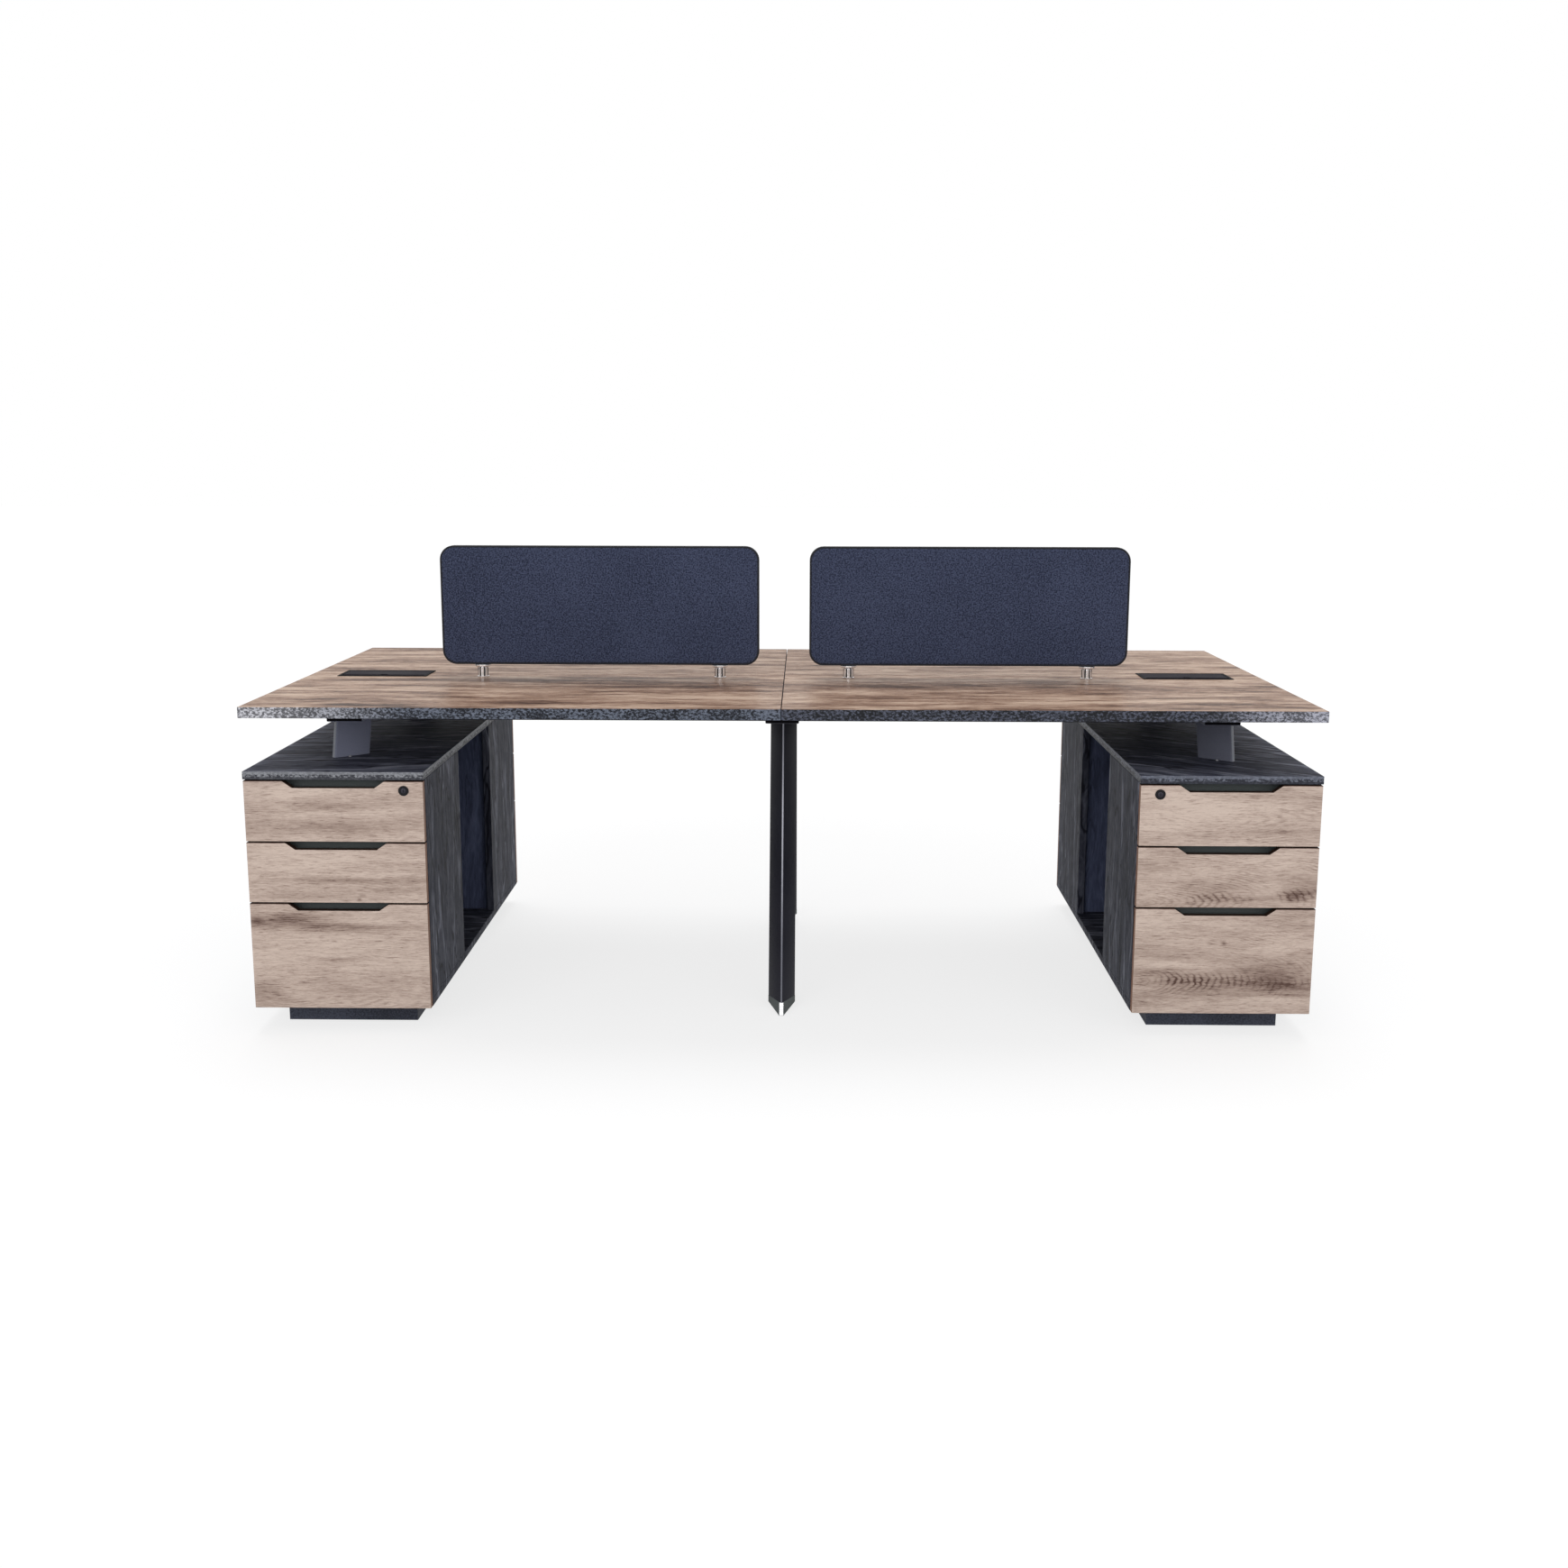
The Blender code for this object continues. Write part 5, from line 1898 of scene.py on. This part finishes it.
@dataclass
class CablePort:
    """A flush cable port: frame, hinged lid and brush."""

    side: Side
    centre_x: float = 1.012
    inner_half: float = 0.1037
    front_wall: float = 0.0492
    lid_edge: float = 0.0325
    top: float = 0.7518
    holder_gap: float = 0.002
    holder_depth: Span = (0.0001, 0.0032)
    holder_drop: Span = (0.0085, 0.0030)
    holder_chamfer: float = 0.0005
    bristles: int = 110
    bristle_margin: float = 0.003
    bristle_root: float = 0.0031
    bristle_drop: float = 0.0052
    bristle_share: float = 0.36
    lean: float = 0.0010
    short_by: Span = (0.0010, 0.0030)
    rise: float = 0.0008
    seed: int = 5

    def build(self) -> None:
        """Finishes the port and adds its brush."""
        dress(f"cable_box_{self.side.label}", (PORT_PLASTIC,))
        dress(f"cable_lid_{self.side.label}", (LID_PLASTIC,))
        smooth_node(f"cable_lid_{self.side.label}")
        self.add_brush()

    def add_brush(self) -> None:
        """Makes the bristles that close the slot in front of the lid, in a holder on the frame."""
        x, half = self.side.value * self.centre_x, self.inner_half - self.holder_gap
        near, far = (depth - self.front_wall for depth in self.holder_depth)
        low, high = (self.top - drop for drop in self.holder_drop)
        bm = bmesh.new()
        add_box(bm, (x - half, near, low), (x + half, far, high), self.holder_chamfer)
        rng = random.Random(self.seed + self.side.value)
        margin = self.bristle_margin
        pitch = 2 * (half - margin) / self.bristles
        for i in range(self.bristles):
            at = x - half + margin + pitch * (i + 0.5)
            self.add_bristle(bm, rng, at, pitch * self.bristle_share)
        piece(f"port_brush_{self.side.label}", bm, CARCASS, (BRISTLE,))

    def add_bristle(self, bm: bmesh.types.BMesh, rng: random.Random, at: float, w: float) -> None:
        """Adds one tuft of the brush.

        Args:
            bm: Where its faces go.
            rng: Draws its lean, its length and its height, in that order.
            at: Its place along the brush.
            w: Half its thickness.
        """
        lean = rng.uniform(-self.lean, self.lean)
        reach = self.front_wall - self.lid_edge - self.holder_depth[1] - rng.uniform(*self.short_by)
        z = self.top - self.bristle_drop + rng.uniform(-self.rise, self.rise)
        root = self.bristle_root - self.front_wall
        corners = ((-w, -w), (w, -w), (w, w), (-w, w))
        low = [(at + u, root, z + v) for u, v in corners]
        add_loft(bm, [low, [(px + lean, root + reach, pz) for px, _, pz in low]])


@dataclass
class Lamp:
    """A distant soft lamp that lights everything evenly from one direction."""

    name: str
    aim: Point
    strength: float
    spread: float
    distance: float = 4.0

    def build(self) -> None:
        """Adds the lamp, shining along its aim."""
        data = bpy.data.lights.new(self.name, "SUN")
        data.energy = self.strength
        data.angle = math.radians(self.spread)
        lamp = add_object(self.name, data)
        lamp.rotation_mode = "QUATERNION"
        lamp.rotation_quaternion = Vector(self.aim).to_track_quat("-Z", "Y")
        lamp.location = -self.distance * Vector(self.aim).normalized()


@dataclass
class Studio:
    """White room: floor that keeps a soft shadow, even light and the camera.

    The camera's roll is in radians, and its other angles are in degrees, as the lamps' spread is.
    """

    floor_half: float = 40.0
    floor_z: float = -0.0002
    floor_albedo: float = 0.80
    floor_cloud: float = 0.6
    floor_variation: float = 0.005
    shade_colour: Colour = (0.95, 0.95, 0.96, 1.0)
    glow: float = 0.76
    shade_share: float = 0.28
    ambient: float = 0.50
    lamps: tuple[Lamp, ...] = (
        Lamp("key_lamp", (0.35, 0.85, -0.30), strength=0.85, spread=40.0),
        Lamp("fill_lamp", (-0.45, 0.85, -0.28), strength=0.65, spread=45.0),
        Lamp("top_lamp", (0.0, -0.35, -1.0), strength=1.20, spread=35.0),
    )
    camera_place: Point = (0.0529, -4.3197, 1.2931)
    camera_down: float = 10.806
    camera_turn: float = 0.709
    camera_roll: float = 0.00243
    camera_reach: float = 200.0
    lens: float = 39.278
    sensor: float = 36.0

    def build(self) -> None:
        """Makes the floor, world, lamps and camera."""
        self.add_floor()
        self.add_world()
        for lamp in self.lamps:
            lamp.build()
        self.add_camera()
        bpy.context.scene.view_settings.view_transform = "Standard"

    @staticmethod
    def split(shader: Shader, output: str, lit: Field, shown: Field) -> None:
        """Ends a tree in one look for the object's light and one for what the camera sees.

        Args:
            shader: The floor's or the world's tree.
            output: Blender's name of its output node.
            lit: The look that lights the object.
            shown: The look seen by the camera itself, in a mirror or through glass.
        """
        rays = ("Is Camera Ray", "Is Glossy Ray", "Is Transmission Ray")
        camera, glossy, through = shader.outputs(shader.node("ShaderNodeLightPath"), rays)
        seen = shader.math("MAXIMUM", shader.math("MAXIMUM", camera, glossy), through)
        mixed = shader.node("ShaderNodeMixShader", None, {0: seen, 1: lit, 2: shown})
        shader.node(output, None, {0: mixed})

    def add_floor(self) -> None:
        """Makes a wide floor, white where it is lit and pale grey in the object's shadow."""
        shader = Shader(bpy.data.materials.new("studio_floor"))
        x, y, _ = shader.place()
        cloud = shader.noise(x * self.floor_cloud, y * self.floor_cloud)
        grey = (self.floor_albedo,) * 3 + (1.0,)
        low, high = (shaded(grey, 1 + way * self.floor_variation) for way in (-1, 1))
        plain = shader.node("ShaderNodeBsdfDiffuse", None, {"Color": shader.mix(cloud, low, high)})
        strength = self.glow / (1 - self.shade_share)
        glow = shader.node("ShaderNodeEmission", None, {"Color": WHITE, "Strength": strength})
        pale = shader.node("ShaderNodeBsdfDiffuse", None, {"Color": self.shade_colour})
        shown = shader.node("ShaderNodeMixShader", None, {0: self.shade_share, 1: glow, 2: pale})
        self.split(shader, "ShaderNodeOutputMaterial", plain, shown)
        mesh = bpy.data.meshes.new("studio_floor")
        half, z = self.floor_half, self.floor_z
        corners = [(-half, -half, z), (half, -half, z), (half, half, z), (-half, half, z)]
        mesh.from_pydata(corners, [], [(0, 1, 2, 3)])
        mesh.materials.append(shader.owner)
        floor = add_object("studio_floor", mesh)

    def add_world(self) -> None:
        """Makes a white surround that lights the object at a plain level."""
        world = bpy.data.worlds.new("studio")
        bpy.context.scene.world = world
        shader = Shader(world)
        white, room = (
            shader.node("ShaderNodeBackground", None, {"Color": WHITE, "Strength": strength})
            for strength in (1.0, self.ambient)
        )
        self.split(shader, "ShaderNodeOutputWorld", room, white)

    def add_camera(self) -> None:
        """Makes the camera at the photograph's viewing angle."""
        data = bpy.data.cameras.new("camera")
        data.lens = self.lens
        data.sensor_width = self.sensor
        data.clip_end = self.camera_reach
        camera = add_object("camera", data)
        camera.matrix_world = (
            Matrix.Translation(self.camera_place)
            @ Matrix.Rotation(math.radians(self.camera_turn), 4, "Z")
            @ Matrix.Rotation(math.radians(90 - self.camera_down), 4, "X")
            @ Matrix.Rotation(self.camera_roll, 4, "Z")
        )
        bpy.context.scene.camera = camera


def clear_startup() -> None:
    """Removes what Blender's startup scene holds besides the frame."""
    kept = set(frame["nodes"].values()) | set(frame["bodies"].values())
    for obj in list(bpy.data.objects):
        if obj not in kept:
            bpy.data.objects.remove(obj, do_unlink=True)


def main() -> None:
    """Builds the studio, then every sub-assembly's looks."""
    logging.basicConfig(level=logging.INFO, format="%(name)s: %(message)s")
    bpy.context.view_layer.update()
    clear_startup()
    Studio().build()
    Desktops().dress_all()
    Cabinets().dress_all()
    DrawerStacks().dress_all()
    SteelFrame().dress_all()
    for side in Side:
        DeskScreen(side).build()
        CablePort(side).build()


if __name__ == "__main__":
    main()
